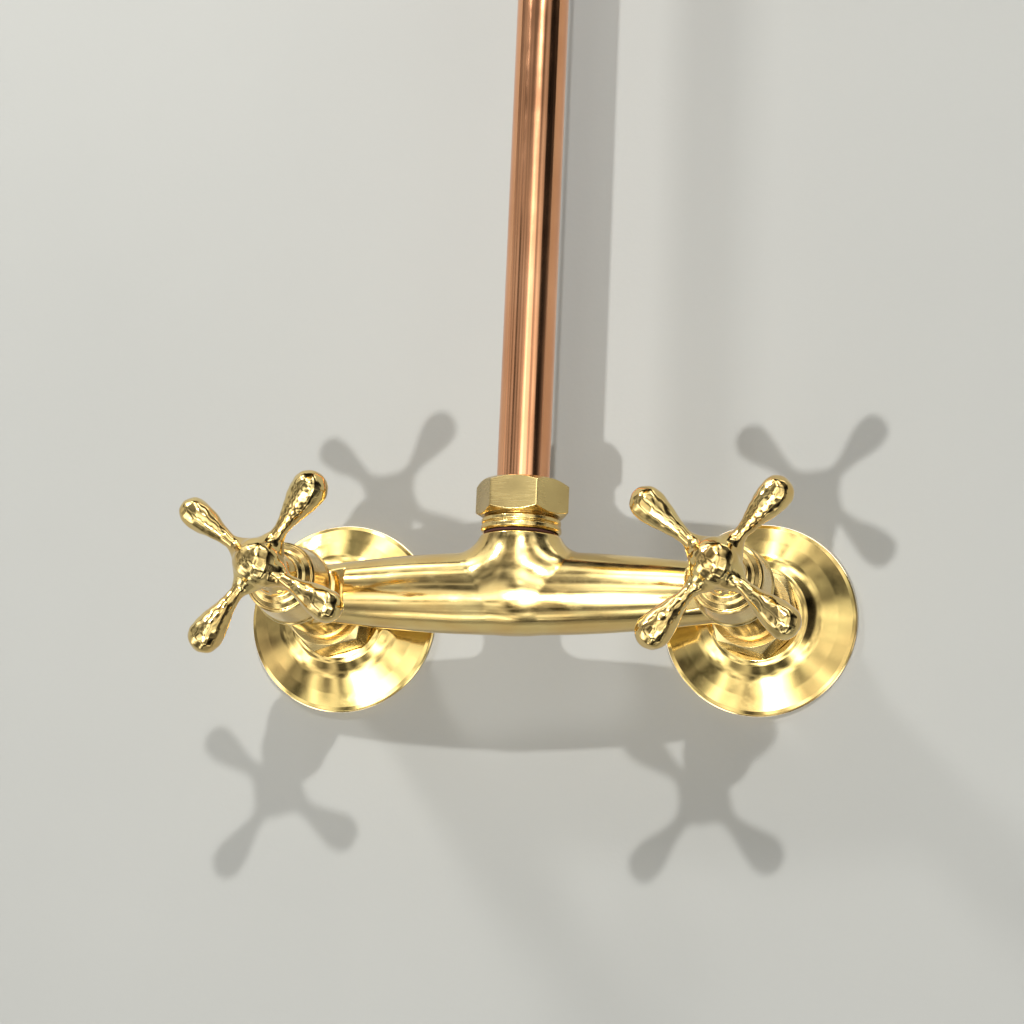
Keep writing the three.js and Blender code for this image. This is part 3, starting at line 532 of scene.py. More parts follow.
def spun_brass():
    """Sheet brass spun on a former and polished: a near mirror with slow dents from fitting."""
    c = bpy.context.scene.shower_colours
    return metal(
        "Sheet brass, spun and polished", c.spun, c.brass_red, (0.05, 0.14), 22.0, 2.5, (1, 1, 1), 0.002, 20.0
    )


def turned_bright_brass():
    """Bar brass turned and buffed: fine rings across the axis that runs out of the wall."""
    c = bpy.context.scene.shower_colours
    return metal("Bar brass, turned bright", c.brass, c.brass_red, (0.10, 0.30), 12.0, 3.0, (1, 9, 1), 0.004)


def milled_brass():
    """Bar brass milled to a hexagon and rubbed down: a dull face whose fine lines lie level."""
    c = bpy.context.scene.shower_colours
    return metal(
        "Bar brass, milled and rubbed", c.brass_dull, c.brass, (0.20, 0.32), 26.0, 1.2, (0.2, 0.2, 4), 0.002
    )


def turned_dull_brass():
    """Bar brass as turned and left, where fittings hide it: dull with tool rings."""
    c = bpy.context.scene.shower_colours
    return metal("Bar brass, as turned", c.brass_dull, c.brass_red, (0.28, 0.55), 6.0, 1.5, (1, 6, 1), 0.01)


def drawn_copper():
    """Copper tube drawn through a die and polished lengthways: fine lines along the tube, darker handled
    patches."""
    c = bpy.context.scene.shower_colours
    return metal(
        "Copper tube, drawn and polished", c.copper, c.copper_dull, (0.07, 0.20), 40.0, 0.9, (1, 1, 0.02), 0.004
    )


def bright_steel():
    """Stainless steel as rolled: grey with a fine grain."""
    return metal(
        "Stainless steel, rolled", linear("#B9B9B6"), linear("#A4A4A2"), (0.2, 0.4), 5.0, 0.8, (1, 4, 1), 0.002
    )


def plain(name, base, worn, roughness, patch, grain, relief, **constants):
    """A solid that isn't metal: two close shades in patches and a grain that breaks its gloss."""
    material, tree, shader = surface(name, **constants)
    where = put(tree, "ShaderNodeTexCoord").outputs["Object"]
    two_shades(tree, shader, noise(tree, where, patch, 5.0), base, worn)
    fine = noise(tree, where, grain, 6.0)
    tree.links.new(shader.inputs["Roughness"], mapped(tree, fine, 0.3, 0.7, *roughness))
    tree.links.new(shader.inputs["Normal"], relief_of(tree, fine, relief))
    return material


def nitrile_rubber():
    """Black nitrile rubber, moulded: a soft sheen and a fine bloom."""
    return plain("Nitrile rubber, moulded", linear("#1B1B1C"), linear("#2C2C2E"), (0.45, 0.7), 3.0, 0.4, 0.01)


def lapped_alumina():
    """Alumina ceramic, lapped flat: off-white and silky."""
    return plain("Alumina, lapped", linear("#E9E5DC"), linear("#DCD7CC"), (0.18, 0.3), 4.0, 0.3, 0.002)


def vulcanised_fibre():
    """Vulcanised fibre sheet: red-brown, dry, with a paper grain."""
    return plain(
        "Vulcanised fibre, pressed", linear("#4A2018"), linear("#33150F"), (0.7, 0.9), 2.0, 0.3, 0.03
    )


def painted_plaster():
    """Emulsion paint rolled on trowelled plaster: nearly flat, with slow trowel hollows and a fine
    stipple."""
    c = bpy.context.scene.shower_colours
    material, tree, shader = surface("Plaster, emulsion painted", Roughness=0.62)
    where = put(tree, "ShaderNodeTexCoord").outputs["Object"]
    tone = mapped(tree, noise(tree, where, 160, 6.0), 0.0, 1.0, 0.93, 1.04)
    shade = put(tree, "ShaderNodeMix", [("B", tone)], data_type="RGBA", blend_type="MULTIPLY")
    shade.inputs["Factor"].default_value = 1.0
    shade.inputs["A"].default_value = c.wall
    tree.links.new(shader.inputs["Base Color"], shade.outputs["Result"])
    hollows = relief_of(tree, noise(tree, where, 45, 3.0), 0.5)
    stipple = relief_of(tree, noise(tree, where, 2.0, 4.0), 0.05, hollows)
    tree.links.new(shader.inputs["Normal"], stipple)
    # Seen from behind, the wall lets the eye through, so that the back of the column can be looked at. It
    # also lets through a reflection that meets it within a few millimetres, so that the flanges' backs
    # aren't black.
    ray = put(tree, "ShaderNodeLightPath").outputs
    near = maths(tree, "LESS_THAN", ray["Ray Length"], 12 * MM)
    seen = put(tree, "ShaderNodeNewGeometry").outputs["Backfacing"]
    behind = maths(tree, "MAXIMUM", maths(tree, "MULTIPLY", near, ray["Is Glossy Ray"]), seen)
    clear = put(tree, "ShaderNodeBsdfTransparent").outputs["BSDF"]
    mixed = put(tree, "ShaderNodeMixShader", [(0, behind), (1, shader.outputs["BSDF"]), (2, clear)])
    tree.links.new(tree.nodes["Material Output"].inputs["Surface"], mixed.outputs["Shader"])
    return material


def studio_floor():
    """A pale matt studio floor with a faint mottle."""
    c = bpy.context.scene.shower_colours
    worn = [v * 0.94 for v in c.floor[:3]] + [1.0]
    return plain("Studio floor, matt paint", c.floor, worn, (0.6, 0.75), 220.0, 3.0, 0.1)


# ------------------------------------------------------------------ operators

class PieceOperator:
    """What the operators share: they are undone as one step and read the scene's shower sizes."""

    bl_options = {"REGISTER", "UNDO"}

    def mm(self, name):
        """One of the shower sizes in millimetres."""
        return getattr(bpy.context.scene.shower_sizes, name) / MM

    def execute(self, context):
        self.make()
        return {"FINISHED"}


class SHOWER_OT_mixer_body(PieceOperator, bpy.types.Operator):
    """Cast mixer body: spindle-shaped barrel, filleted outlet neck and a round boss at each valve"""

    bl_idname = "shower.mixer_body"
    bl_label = "Mixer Body"

    def field(self, x, y, z):
        """Negative inside the casting. The barrel's radius falls with the square of the distance from its
        middle; the neck, which narrows downwards inside the barrel, and the bosses are cylinders joined to
        it with fillets; a plane squares the barrel's front at each valve."""
        y = y + BARREL_DEPTH
        away = np.abs(x)
        radius = self.middle - (self.middle - self.end) * np.minimum(away / self.shoulder, 1.25) ** 2
        barrel = common(np.hypot(y, z) - radius, away - VALVE_X["cold"], 1)
        taper = 0.9 * np.logaddexp(0, (7 - z) / 2)
        neck = common(np.hypot(x, y) - 13.2 + taper, np.maximum(z - self.neck_top, -z - 8), 0.7)
        casting = joined(barrel, neck, self.fillet)
        seat = -y - self.seat
        squared = common(casting, -common(self.shoulder - away, -seat, 0.3), 0.3)
        boss_round = np.hypot(away - VALVE_X["cold"], z)
        boss = common(common(boss_round - 11.6, seat, 1.3), y - self.boss_back, 0.8)
        tail = common(boss_round - 10.1, y - self.tail_back, 0.4)
        uneven = wobble(x * 0.3, y * 0.5, z * 0.5, self.uneven * 0.6)
        return joined(joined(squared, boss, 2.2), tail, 0.6) + uneven

    def make(self):
        _, low, high = span("mixer_body")
        self.middle, self.end = self.mm("barrel_middle"), self.mm("barrel_end")
        self.fillet, self.uneven = self.mm("neck_fillet"), self.mm("casting_wobble")
        self.shoulder = VALVE_X["cold"] - 16.5
        self.neck_top = high[2] - 0.1
        self.seat = depths("hot_headwork")[1] - 17.0 - BARREL_DEPTH
        self.boss_back = BARREL_DEPTH - depths("hot_union_nut")[1] - 2.0
        self.tail_back = BARREL_DEPTH - depths("hot_union_nut")[0] - 8.0
        build("mixer_body_casting", skin(self.field, low, high, 0.5), polished_cast_brass(), "mixer_body")


class SHOWER_OT_cross_handles(PieceOperator, bpy.types.Operator):
    """Cast cross handles: a domed hub on a skirt, and four arms that swell into balls"""

    bl_idname = "shower.cross_handles"
    bl_label = "Cross Handles"

    def arm_turn(self, side):
        """How far a handle stands from a square X, from the far corner of its highest arm."""
        return {"hot": 11.4, "cold": 4.5}[side]

    def field(self, x, y, z):
        """Negative inside the handle, with the spindle along -Y and the arms' plane at y = 0. An arm's
        half-width follows a smooth curve through its root, waist and ball, and past the ball's middle it is
        a round end. Near the hub an arm is a web, deeper than wide. The fillet to the hub is wide between
        the arms and tight in front."""
        out = -y
        away = np.hypot(x, z)
        dome = np.sqrt(away**2 + (np.maximum(out, 0) * 1.08) ** 2 + np.minimum(out, 0) ** 2 * 0.2) - 8.1
        dome = common(dome, -7 - out, 2)
        flare = 6.2 + 1.2 * np.exp(-(((out + 20) / 5) ** 2))
        skirt = common(away - flare, np.maximum(out + 2, -20.0 - out), 0.7)
        hub = joined(dome, skirt, 2.0)
        arms = None
        for k, (swing, short, swell) in enumerate(self.arms):
            angle = self.turn + math.radians(45 + 90 * k + swing)
            reach = self.reach - short
            t = x * math.cos(angle) + z * math.sin(angle)
            across = -x * math.sin(angle) + z * math.cos(angle)
            on_stem = np.clip(t, 0, reach) * self.reach / reach
            width = np.interp(on_stem, self.stations, self.widths)
            width = width * (1 + (swell - 1) * (on_stem / self.reach) ** 2)
            root = np.clip((17 - t) / 17, 0, 1)
            deep = 1 + 0.7 * root * root * (3 - 2 * root)
            past = np.maximum(t - reach, 0)
            arm = np.sqrt(past**2 + across**2 + ((out + 2.0 * root) / deep) ** 2) - width
            arm = np.maximum(arm, 1 - t)
            arms = arm if arms is None else np.minimum(arms, arm)
        fillet = 1.0 + self.fillet * np.exp(-(((out + 2) / 4) ** 2))
        shape = joined(hub, arms, fillet)
        return shape + wobble(x * 1.9 + 5 * self.turn, y * 1.9, z * 1.9, self.uneven)

    def make(self):
        self.reach, ball, waist = self.mm("arm_reach"), self.mm("arm_ball"), self.mm("arm_waist")
        self.fillet = self.mm("hub_fillet")
        self.uneven = self.mm("casting_wobble") * 1.6
        self.stations = np.linspace(0, self.reach, 60)
        rise = np.clip((self.stations - 11) / (self.reach - 11), 0, 1)
        root = np.clip((11 - self.stations) / 11, 0, 1)
        self.widths = waist + (ball - waist) * np.sin(rise * np.pi / 2) ** 2.2 + 1.2 * root**2
        brass = rubbed_cast_brass()
        for side in SIDES:
            self.turn = math.radians(self.arm_turn(side))
            self.arms = ARMS[side]
            points, faces, norms = skin(self.field, (-35.5, -9.5, -35.5), (35.5, 20.5, 35.5), 0.5)
            shape = points + (VALVE_X[side], -HANDLE_DEPTH, 0), faces, norms
            build(f"{side}_handle_casting", shape, brass, f"{side}_cross_handle", body=f"{side}_handle")


class SHOWER_OT_bells(PieceOperator, bpy.types.Operator):
    """Bell covers: tapered sleeves with a bead at each rim and a stepped cone in front"""

    bl_idname = "shower.bells"
    bl_label = "Bell Covers"

    def make(self):
        brass = turned_bright_brass()
        for side in SIDES:
            back, front = depths(f"{side}_bell")
            rim = front - 3.4
            profile = [
                (12.0, back, 0.15), (13.1, back, 0.3), (13.5, back + 0.5, 0.5), (13.5, back + 1.3, 0.5),
                (12.95, back + 1.9, 0.3), (12.75, back + 4, 3), (11.85, rim - 1.9, 0.4),
                (12.0, rim - 1.2, 0.3), (12.0, rim - 0.3, 0.5), (11.3, rim + 0.3, 0.4),
                (10.7, rim + 0.3, 0.3), (9.4, rim + 1.7, 1.2), (8.4, rim + 2.2, 0.3),
                (7.3, rim + 3.2, 0.6), (6.2, rim + 3.4, 0.4), (5.0, rim + 3.4, 0.2), (5.0, rim + 2.2, 0.2),
                (8.3, rim + 0.6, 1), (10.4, rim - 1.4, 1), (11.4, back + 4, 1),
            ]
            shape = turned(profile, out_of_wall(side), around=160, step=1.5)
            build(f"{side}_bell_cover", shape, brass, f"{side}_bell")


class SHOWER_OT_headworks(PieceOperator, bpy.types.Operator):
    """Headworks: the threaded brass ring that shows between the mixer and the bell, with the sleeve behind
    it"""

    bl_idname = "shower.headworks"
    bl_label = "Headworks"

    def make(self):
        brass = turned_bright_brass()
        for side in SIDES:
            back, front = depths(f"{side}_headwork")
            ring_back = front - 16.7
            ring_front = front - 8
            profile = [
                (6.9, back), (8.0, back, 0.5), (8.0, ring_back - 0.4), (11.5, ring_back),
                (11.5, ring_back + 0.9, 0.2), (11.1, ring_back + 1.1, 0.15), (11.4, ring_back + 1.5, 0.3),
                (11.4, ring_front, 0.4), (6.2, ring_front, 0.6), (6.2, front, 0.4), (4.3, front, 0.2),
                (4.3, front - 8), (6.9, back + 11),
            ]
            thread = (ring_back + 1.6, ring_back + 5.6, 0.55, 1.35, 1)
            shape = turned(profile, out_of_wall(side), around=144, step=0.22, ripples=[thread])
            build(f"{side}_headwork_ring", shape, brass, f"{side}_headwork")


class SHOWER_OT_flanges(PieceOperator, bpy.types.Operator):
    """Wall flanges: spun dishes with a rolled rim and a raised hub"""

    bl_idname = "shower.flanges"
    bl_label = "Wall Flanges"

    def make(self):
        brass = spun_brass()
        for side in SIDES:
            rim = reach(f"{side}_wall_flange") - 0.2
            _, hub = depths(f"{side}_wall_flange")
            profile = [
                (rim - 1.5, 0, 0.2), (rim - 0.3, 0, 0.5), (rim, 0.9, 0.8), (rim - 0.35, 2.1, 0.5),
                (rim - 1.6, 2.7, 1.2), (27.5, 4.4, 30), (21, 6.9, 20), (17.4, 9.2, 8),
                (16.4, hub - 0.4, 0.8), (15.6, hub, 0.6), (14.2, hub, 0.5), (13.7, hub - 0.5, 0.3),
                (12.55, hub - 0.5, 0.2), (12.55, hub - 1.6, 0.2), (15.6, hub - 2, 1), (17, 7.4, 3),
                (21, 5.4, 20), (27, 3, 20), (rim - 2.2, 1.3, 1),
            ]
            shape = turned(profile, out_of_wall(side), around=192, step=1.5)
            build(f"{side}_spun_flange", shape, brass, f"{side}_wall_flange")


class SHOWER_OT_unions(PieceOperator, bpy.types.Operator):
    """Unions: hexagonal nuts with chamfered corners, and threaded connectors that go into the wall"""

    bl_idname = "shower.unions"
    bl_label = "Unions"

    def make(self):
        nut_brass, plain_brass = milled_brass(), turned_dull_brass()
        for side, sign in SIDES.items():
            back, front = depths(f"{side}_union_nut")
            profile = nut_profile(back, front, 12.5, 10.7, front - 3.3)
            turn = 30 + 14 * sign
            shape = turned(profile, out_of_wall(side), around=216, step=0.35, flats=(NUT_FLATS, turn))
            build(f"{side}_union_hexagon", shape, nut_brass, f"{side}_union_nut")
            tail, seat = depths(f"{side}_wall_connector")
            profile = [
                (7.0, tail, 0.3), (9.4, tail, 0.3), (10.4, tail + 1, 0.3), (10.4, 2.6, 0.4), (12.2, 4, 0.3),
                (12.2, seat, 0.5), (8.4, seat, 0.3), (7.0, seat - 1.4, 0.3),
            ]
            threads = [(tail + 0.6, -1, 1.0, 1.81, 1), (5.5, seat - 0.6, 0.7, 1.5, 1)]
            shape = turned(profile, out_of_wall(side), around=120, step=0.25, ripples=threads)
            build(f"{side}_connector_tube", shape, plain_brass, f"{side}_wall_connector")


def nut_profile(low, high, thread, lip, shoulder):
    """The turned outline that a hexagon nut is milled from: a 30-degree chamfer at both ends, a threaded
    bore, and a narrower lip from the shoulder's height on."""
    corner = NUT_FLATS / math.sqrt(3)
    start = NUT_FLATS / 2 * 0.965
    rise = (corner - start) * math.tan(math.radians(32))
    return [
        (thread, low, 0.2), (start, low, 0.15), (corner + 0.05, low + rise, 0.1),
        (corner + 0.05, high - rise, 0.1), (start, high, 0.15), (lip, high, 0.3), (lip, shoulder, 0.1),
        (thread, shoulder, 0.2),
    ]


class SHOWER_OT_riser_joint(PieceOperator, bpy.types.Operator):
    """Riser joint: fibre washer, two-ridged collar and hexagonal compression nut on the outlet neck"""

    bl_idname = "shower.riser_joint"
    bl_label = "Riser Joint"

    def make(self):
        axis = riser_axis()
        _, low, high = span("riser_collar")
        foot, top = low[2], high[2]
        _, _, washer = span("riser_washer")
        bottom = washer[2] + 0.2
        profile = [
            (7.0, foot, 0.3), (9.7, foot, 0.4), (9.7, bottom, 0.1), (12.9, bottom, 0.35),
            (13.7, bottom + 0.55, 0.5), (13.7, bottom + 1.9, 0.6), (12.75, bottom + 2.5, 0.45),
            (13.45, bottom + 3.0, 0.5), (13.45, bottom + 4.2, 0.5), (12.6, bottom + 5, 0.3),
            (11.3, bottom + 5, 0.2), (11.3, top, 0.4), (9.3, top, 0.3), (9.3, top - 4.3, 0.2),
            (7.0, top - 4.3, 0.2),
        ]
        shape = turned(profile, axis, around=160, step=0.8)
        build("riser_collar_ridged", shape, turned_bright_brass(), "riser_collar")
        _, low, high = span("riser_nut")
        profile = nut_profile(low[2], high[2], TUBE_THREAD, TUBE_BORE, high[2] - 2)
        shape = turned(profile, axis, around=240, step=0.35, flats=(NUT_FLATS, 0))
        build("riser_nut_hexagon", shape, milled_brass(), "riser_nut")
        _, low, high = span("riser_washer")
        profile = [(9.9, low[2], 0.1), (12.6, low[2], 0.3), (12.6, high[2], 0.3), (9.9, high[2], 0.1)]
        shape = turned(profile, axis, around=96)
        build("riser_washer_ring", shape, vulcanised_fibre(), "riser_washer")


class SHOWER_OT_riser_pipe(PieceOperator, bpy.types.Operator):
    """Copper tube: the riser, its two bends and the arm as one drawn tube"""

    bl_idname = "shower.riser_pipe"
    bl_label = "Riser Pipe"

    def make(self):
        _, low, high = span("riser_pipe")
        radius, wall = (high[0] - low[0]) / 2, 1.0
        top = high[2] - radius
        arm_end = low[1] + radius
        start = low[2]
        stop = BALL[2] + ball_drop()
        first, second = 75.0, 45.0
        runs = [top - first - start, -BARREL_DEPTH - first - (arm_end + second), top - second - stop]
        marks = np.cumsum([0, runs[0], first * np.pi / 2, runs[1], second * np.pi / 2, runs[2]])
        ways = np.array([(0, 0, 1), (0, -1, 0), (0, 0, -1)], float)

        def at(height):
            """Straight runs joined by quarter circles: on a bend the way ahead turns evenly with the
            length."""
            turn = np.interp(height, marks, [0, 0, 1, 1, 2, 2]) * np.pi / 2
            along = np.stack([0 * turn, -np.sin(turn), np.cos(turn)], 1)
            fine = np.linspace(0, marks[-1], 4001)
            slope = np.interp(fine, marks, [0, 0, 1, 1, 2, 2]) * np.pi / 2
            stride = np.diff(fine)
            ahead, up = (stride * (part[1:] + part[:-1]) / 2 for part in (np.sin(slope), np.cos(slope)))
            y = -BARREL_DEPTH - np.concatenate([[0], np.cumsum(ahead)])
            z = start + np.concatenate([[0], np.cumsum(up)])
            centre = np.stack([0 * height, np.interp(height, fine, y), np.interp(height, fine, z)], 1)
            side = np.broadcast_to([1.0, 0, 0], centre.shape)
            return centre, side, np.cross(along, side), along

        total = marks[-1]
        profile = [(radius - wall, 0, 0.3), (radius, 0, 0.4), (radius, total, 0.4), (radius - wall, total, 0.3)]
        shape = turned(profile, at, around=72, step=3.5)
        build("riser_tube", shape, drawn_copper(), "riser_pipe")


class SHOWER_OT_bracket(PieceOperator, bpy.types.Operator):
    """Wall bracket: spun rose, stem with the clamp's back half, front half and two slotted screws"""

    bl_idname = "shower.bracket"
    bl_label = "Wall Bracket"

    def clamp_half(self, x, y, z):
        """Negative inside a half clamp about the tube, on the +y side: half a ring with two ears, pierced
        for the tube and for a screw in each ear."""
        ring = common(np.hypot(x, y) - 13.25, 0.3 - y, 0.4)
        ears = common(np.abs(x) - 21.9, np.abs(y - 2.3) - 2.0, 0.7)
        body = common(joined(ring, ears, 2.5), np.abs(z) - 6.0, 0.9)
        pierced = common(body, 9.3 - np.hypot(x, y), 0.25)
        return common(pierced, 2.25 - np.hypot(np.abs(x) - self.screw, z), 0.2)

    def front_half(self, x, y, z):
        """The loose half of the clamp, in front of the tube."""
        return self.clamp_half(x, -(y + BARREL_DEPTH), z - self.height)

    def stem(self, x, y, z):
        """Negative inside the stem: a round bar from the stud in the wall to the clamp's back half, with a
        collar."""
        out = -y
        z = z - self.height
        away = np.hypot(x, z)
        bar = common(away - 5.0, np.maximum(out - 39, 1 - out), 0.3)
        collar = common(away - 6.9, np.abs(out - 33) - 1.6, 1.2)
        stud = common(away - 2.9, np.maximum(out - 3, -29.8 - out), 0.4)
        half = self.clamp_half(x, BARREL_DEPTH - out, z)
        return joined(joined(joined(bar, collar, 0.8), half, 1.5), stud, 0.2)

    def make(self):
        brass = polished_cast_brass()
        centre, low, high = span("bracket_rose")
        self.height = centre[2]
        self.screw = span("bracket_screw_right")[0][0]
        profile = [
            (5.3, 0, 0.2), (22.8, 0, 0.4), (23.9, 0.9, 0.6), (23.6, 2.4, 0.6), (22.4, 3.1, 0.8),
            (16.5, 4.6, 20), (11, 6.6, 9), (8.1, 8.7, 2), (6.6, 9.5, 0.5), (5.3, 9.5, 0.3),
        ]
        axis = straight((0, 0, self.height), (0, -1, 0))
        build("bracket_rose_spun", turned(profile, axis, around=160, step=1.5), spun_brass(), "bracket_rose")
        _, low, high = span("bracket_stem")
        build("bracket_stem_cast", skin(self.stem, low, high, 0.5), brass, "bracket_stem")
        _, low, high = span("bracket_clamp")
        build("bracket_clamp_cast", skin(self.front_half, low, high, 0.5), brass, "bracket_clamp")
        for name in ("left", "right"):
            node = f"bracket_screw_{name}"
            centre, low, high = span(node)
            top = (centre[0], low[1], centre[2])
            shape = slotted_screw(top, (0, -1, 0), 3.5, 3.1, 2.0, high[1] - low[1], 20)
            build(f"{node}_slotted", shape, turned_bright_brass(), node)


def slotted_screw(top, way, head, thick, shank, total, slot_turn):
    """A cheese-head screw whose head ends at top and whose shank runs back from it: two cylinders, less a
    slot."""
    way = np.array(way, float)
    side = np.array([1.0, 0, 0]) if abs(way[0]) < 0.5 else np.array([0, 1.0, 0])
    other = np.cross(way, side)
    turn = math.radians(slot_turn)

    def field(x, y, z):
        away = np.hypot(x, y)
        crown = z + 0.035 * away**2
        cap = common(away - head, np.maximum(crown, -thick - z), 0.35)
        rod = common(away - shank, np.maximum(z + thick / 2, -total - z), 0.25)
        slot = common(np.abs(x * math.cos(turn) + y * math.sin(turn)) - 0.45, -1.1 - z, 0.15)
        return common(joined(cap, rod, 0.2), -slot, 0.15)

    points, faces, norms = skin(field, (-head, -head, -total), (head, head, 0.1), 0.27)
    carry = np.stack([side, other, way])
    return np.array(top) + points @ carry, faces, norms @ carry


class SHOWER_OT_ball_joint(PieceOperator, bpy.types.Operator):
    """Ball joint of the head: compression nut, ball stud, fluted swivel ring and socket"""

    bl_idname = "shower.ball_joint"
    bl_label = "Ball Joint"

    def round_of(self, radius, middle, edge, angles):
        """Corners of a profile on a ball: radius * sin(angle) out and radius * cos(angle) above its
        middle."""
        return [(radius * math.sin(a), middle - radius * math.cos(a), edge) for a in angles]

    def make(self):
        axis = drop_axis()
        drop = ball_drop()
        bright, milled = turned_bright_brass(), milled_brass()
        end = BALL[2] + drop

        def under(node):
            """A node's nearest and furthest distance below the end of the pipe."""
            _, low, high = span(node)
            return end - high[2], end - low[2]

        top, bottom = under("arm_nut")
        profile = [
            (TUBE_BORE, top, 0.3), (13.5, top, 0.15), (16.2, top + 1.7, 0.1), (16.2, bottom - 1.7, 0.1),
            (13.5, bottom, 0.15), (TUBE_THREAD, bottom, 0.2), (TUBE_THREAD, top + 2, 0.2),
            (TUBE_BORE, top + 2, 0.1),
        ]
        shape = turned(profile, axis, around=240, step=0.35, flats=(NUT_FLATS, 10))
        build("arm_nut_hexagon", shape, milled, "arm_nut")

        stud_top, ball_bottom = under("ball_stud")
        neck = math.asin(4.6 / BALL_RADIUS)
        lower = self.round_of(BALL_RADIUS, drop, 3, np.linspace(neck, np.pi - 0.4, 13))
        profile = [
            (3.4, 0.3, 0.2), (9.3, 0.3, 0.2), (9.3, stud_top, 0.3), (11.3, stud_top, 0.4), (11.3, 2.6, 0.2),
            (12.6, 2.6, 0.4), (12.6, 6.2, 0.6), (11.4, 7.0, 0.6), (6.2, 7.0, 1.2), (4.6, 8.6, 1.4), *lower,
            (3.4, ball_bottom, 0.3),
        ]
        shape = turned(profile, axis, around=120, step=0.8)
        build("ball_stud_turned", shape, bright, "ball_stud", body="swivel")

        ring_top, ring_bottom = under("swivel_ring")
        cup = self.round_of(SOCKET_RADIUS, drop, 2, np.linspace(neck + math.radians(21), 1.4, 6))
        profile = [
            (8.4, ring_top + 0.2, 0.3), (9.6, ring_top, 0.4), (14.0, ring_top + 0.8, 1.2),
            (15.4, ring_top + 2.6, 0.8), (15.4, ring_bottom, 0.5), (13.0, ring_bottom, 0.2),
            (13.0, drop - 1.3, 0.2), (SOCKET_RADIUS, drop - 1.3, 0.2), *cup[::-1],
        ]
        flutes = (ring_top + 3.2, ring_bottom - 0.8, 0.45, 1e9, 40)
        shape = turned(profile, axis, around=480, step=0.5, ripples=[flutes])
        build("swivel_ring_fluted", shape, bright, "swivel_ring", body="head")

        top, bottom = under("head_socket")
        cup = self.round_of(SOCKET_RADIUS, drop, 2, np.linspace(np.pi / 2, 2.3, 5))
        flange = bottom - 10
        profile = [
            (SOCKET_RADIUS, top, 0.2), *cup, (5.0, flange - 1, 0.3), (5.0, bottom, 0.3), (9.0, bottom, 0.4),
            (9.0, flange + 4, 0.2), (16.9, flange + 4, 0.3), (16.9, flange + 2, 0.6), (15.6, flange + 1, 0.6),
            (12.7, flange - 0.6, 0.6), (12.7, top, 0.3),
        ]
        shape = turned(profile, axis, around=144, step=0.8)
        build("head_socket_turned", shape, bright, "head_socket", body="head")


class SHOWER_OT_rain_head(PieceOperator, bpy.types.Operator):
    """Rain head: spun dome, spray plate with rings of nozzles, and its screws"""

    bl_idname = "shower.rain_head"
    bl_label = "Rain Head"

    def make(self):
        axis = drop_axis()
        end = BALL[2] + ball_drop()
        spun = spun_brass()
        _, low, high = span("head_dome")
        radius = 99.9
        top, rim = end - high[2], end - low[2]
        outer = [
            (9.3, top, 0.2), (18, top, 6), (40, top + 2.6, 60), (68, top + 7, 90), (88, top + 12, 60),
            (radius - 3, top + 15.6, 8), (radius, top + 18.2, 2.5), (radius, rim - 0.9, 0.4),
            (radius - 0.4, rim, 0.3),
        ]
        inner = [
            (radius - 1.2, rim, 0.3), (radius - 1.2, top + 18.4, 2), (radius - 4, top + 16.8, 6),
            (87.4, top + 13.2, 60), (67.6, top + 8.2, 90), (39.8, top + 3.8, 60), (18, top + 1.2, 6),
            (9.3, top + 1.2, 0.2),
        ]
        shape = turned(outer + inner, axis, around=256, step=3)
        build("head_dome_spun", shape, spun, "head_dome", body="head")

        _, low, high = span("spray_plate")
        back, face = end - high[2], end - low[2]
        edge = 98.4
        profile = [
            (0, back), (edge, back, 0.3), (edge, face, 0.5), (edge - 3, face, 0.3),
            (edge - 3.6, face - 0.35, 0.3), (edge - 4.6, face - 0.35, 0.3), (edge - 5.2, face, 0.3),
            (0, face),
        ]
        shape = turned(profile, axis, around=192, step=4)
        build("spray_plate_turned", shape, spun, "spray_plate", body="head")
        build("spray_nozzles", self.nozzles(axis, face), nitrile_rubber(), body="head")

        for k in range(1, 5):
            node = f"plate_screw_{k}"
            centre, low, high = span(node)
            top = (centre[0], centre[1], low[2])
            shape = slotted_screw(top, (0, 0, -1), 3.0, 1.6, 1.6, high[2] - low[2], 35 * k)
            build(f"{node}_slotted", shape, turned_bright_brass(), node, body="head")

    def nozzles(self, axis, face):
        """Rubber nozzles on circles 18 mm apart, six more on each circle outwards, each a small turned cone
        with a hole, repeated by adding every nozzle's place to the same points."""
        rings = np.arange(1, 5)
        ring = np.repeat(rings, 6 * rings)
        number = np.concatenate([np.arange(6 * r) for r in rings])
        angle = 2 * np.pi * (number + 0.5 * (ring % 2)) / (6 * ring)
        profile = [(0.45, 0.6), (0.55, 1.9), (1.0, 2.1), (1.5, 0.6), (2.0, -0.05), (0.45, -0.05)]
        verts, faces, norms = turned(profile, straight((0, 0, 0), (0, 0, -1)), edge=0.12, around=12)
        middle = np.array([0, BALL[1], axis(np.array([face]))[0][0, 2]])
        places = middle + np.stack([ring * 18 * np.cos(angle), ring * 18 * np.sin(angle), 0 * angle], 1)
        count = len(places)
        shift = np.arange(count)[:, None, None] * len(verts)
        every = [(f[None] + shift).reshape(-1, f.shape[1]) for f in faces]
        return (places[:, None] + verts[None]).reshape(-1, 3), every, np.tile(norms, (count, 1))


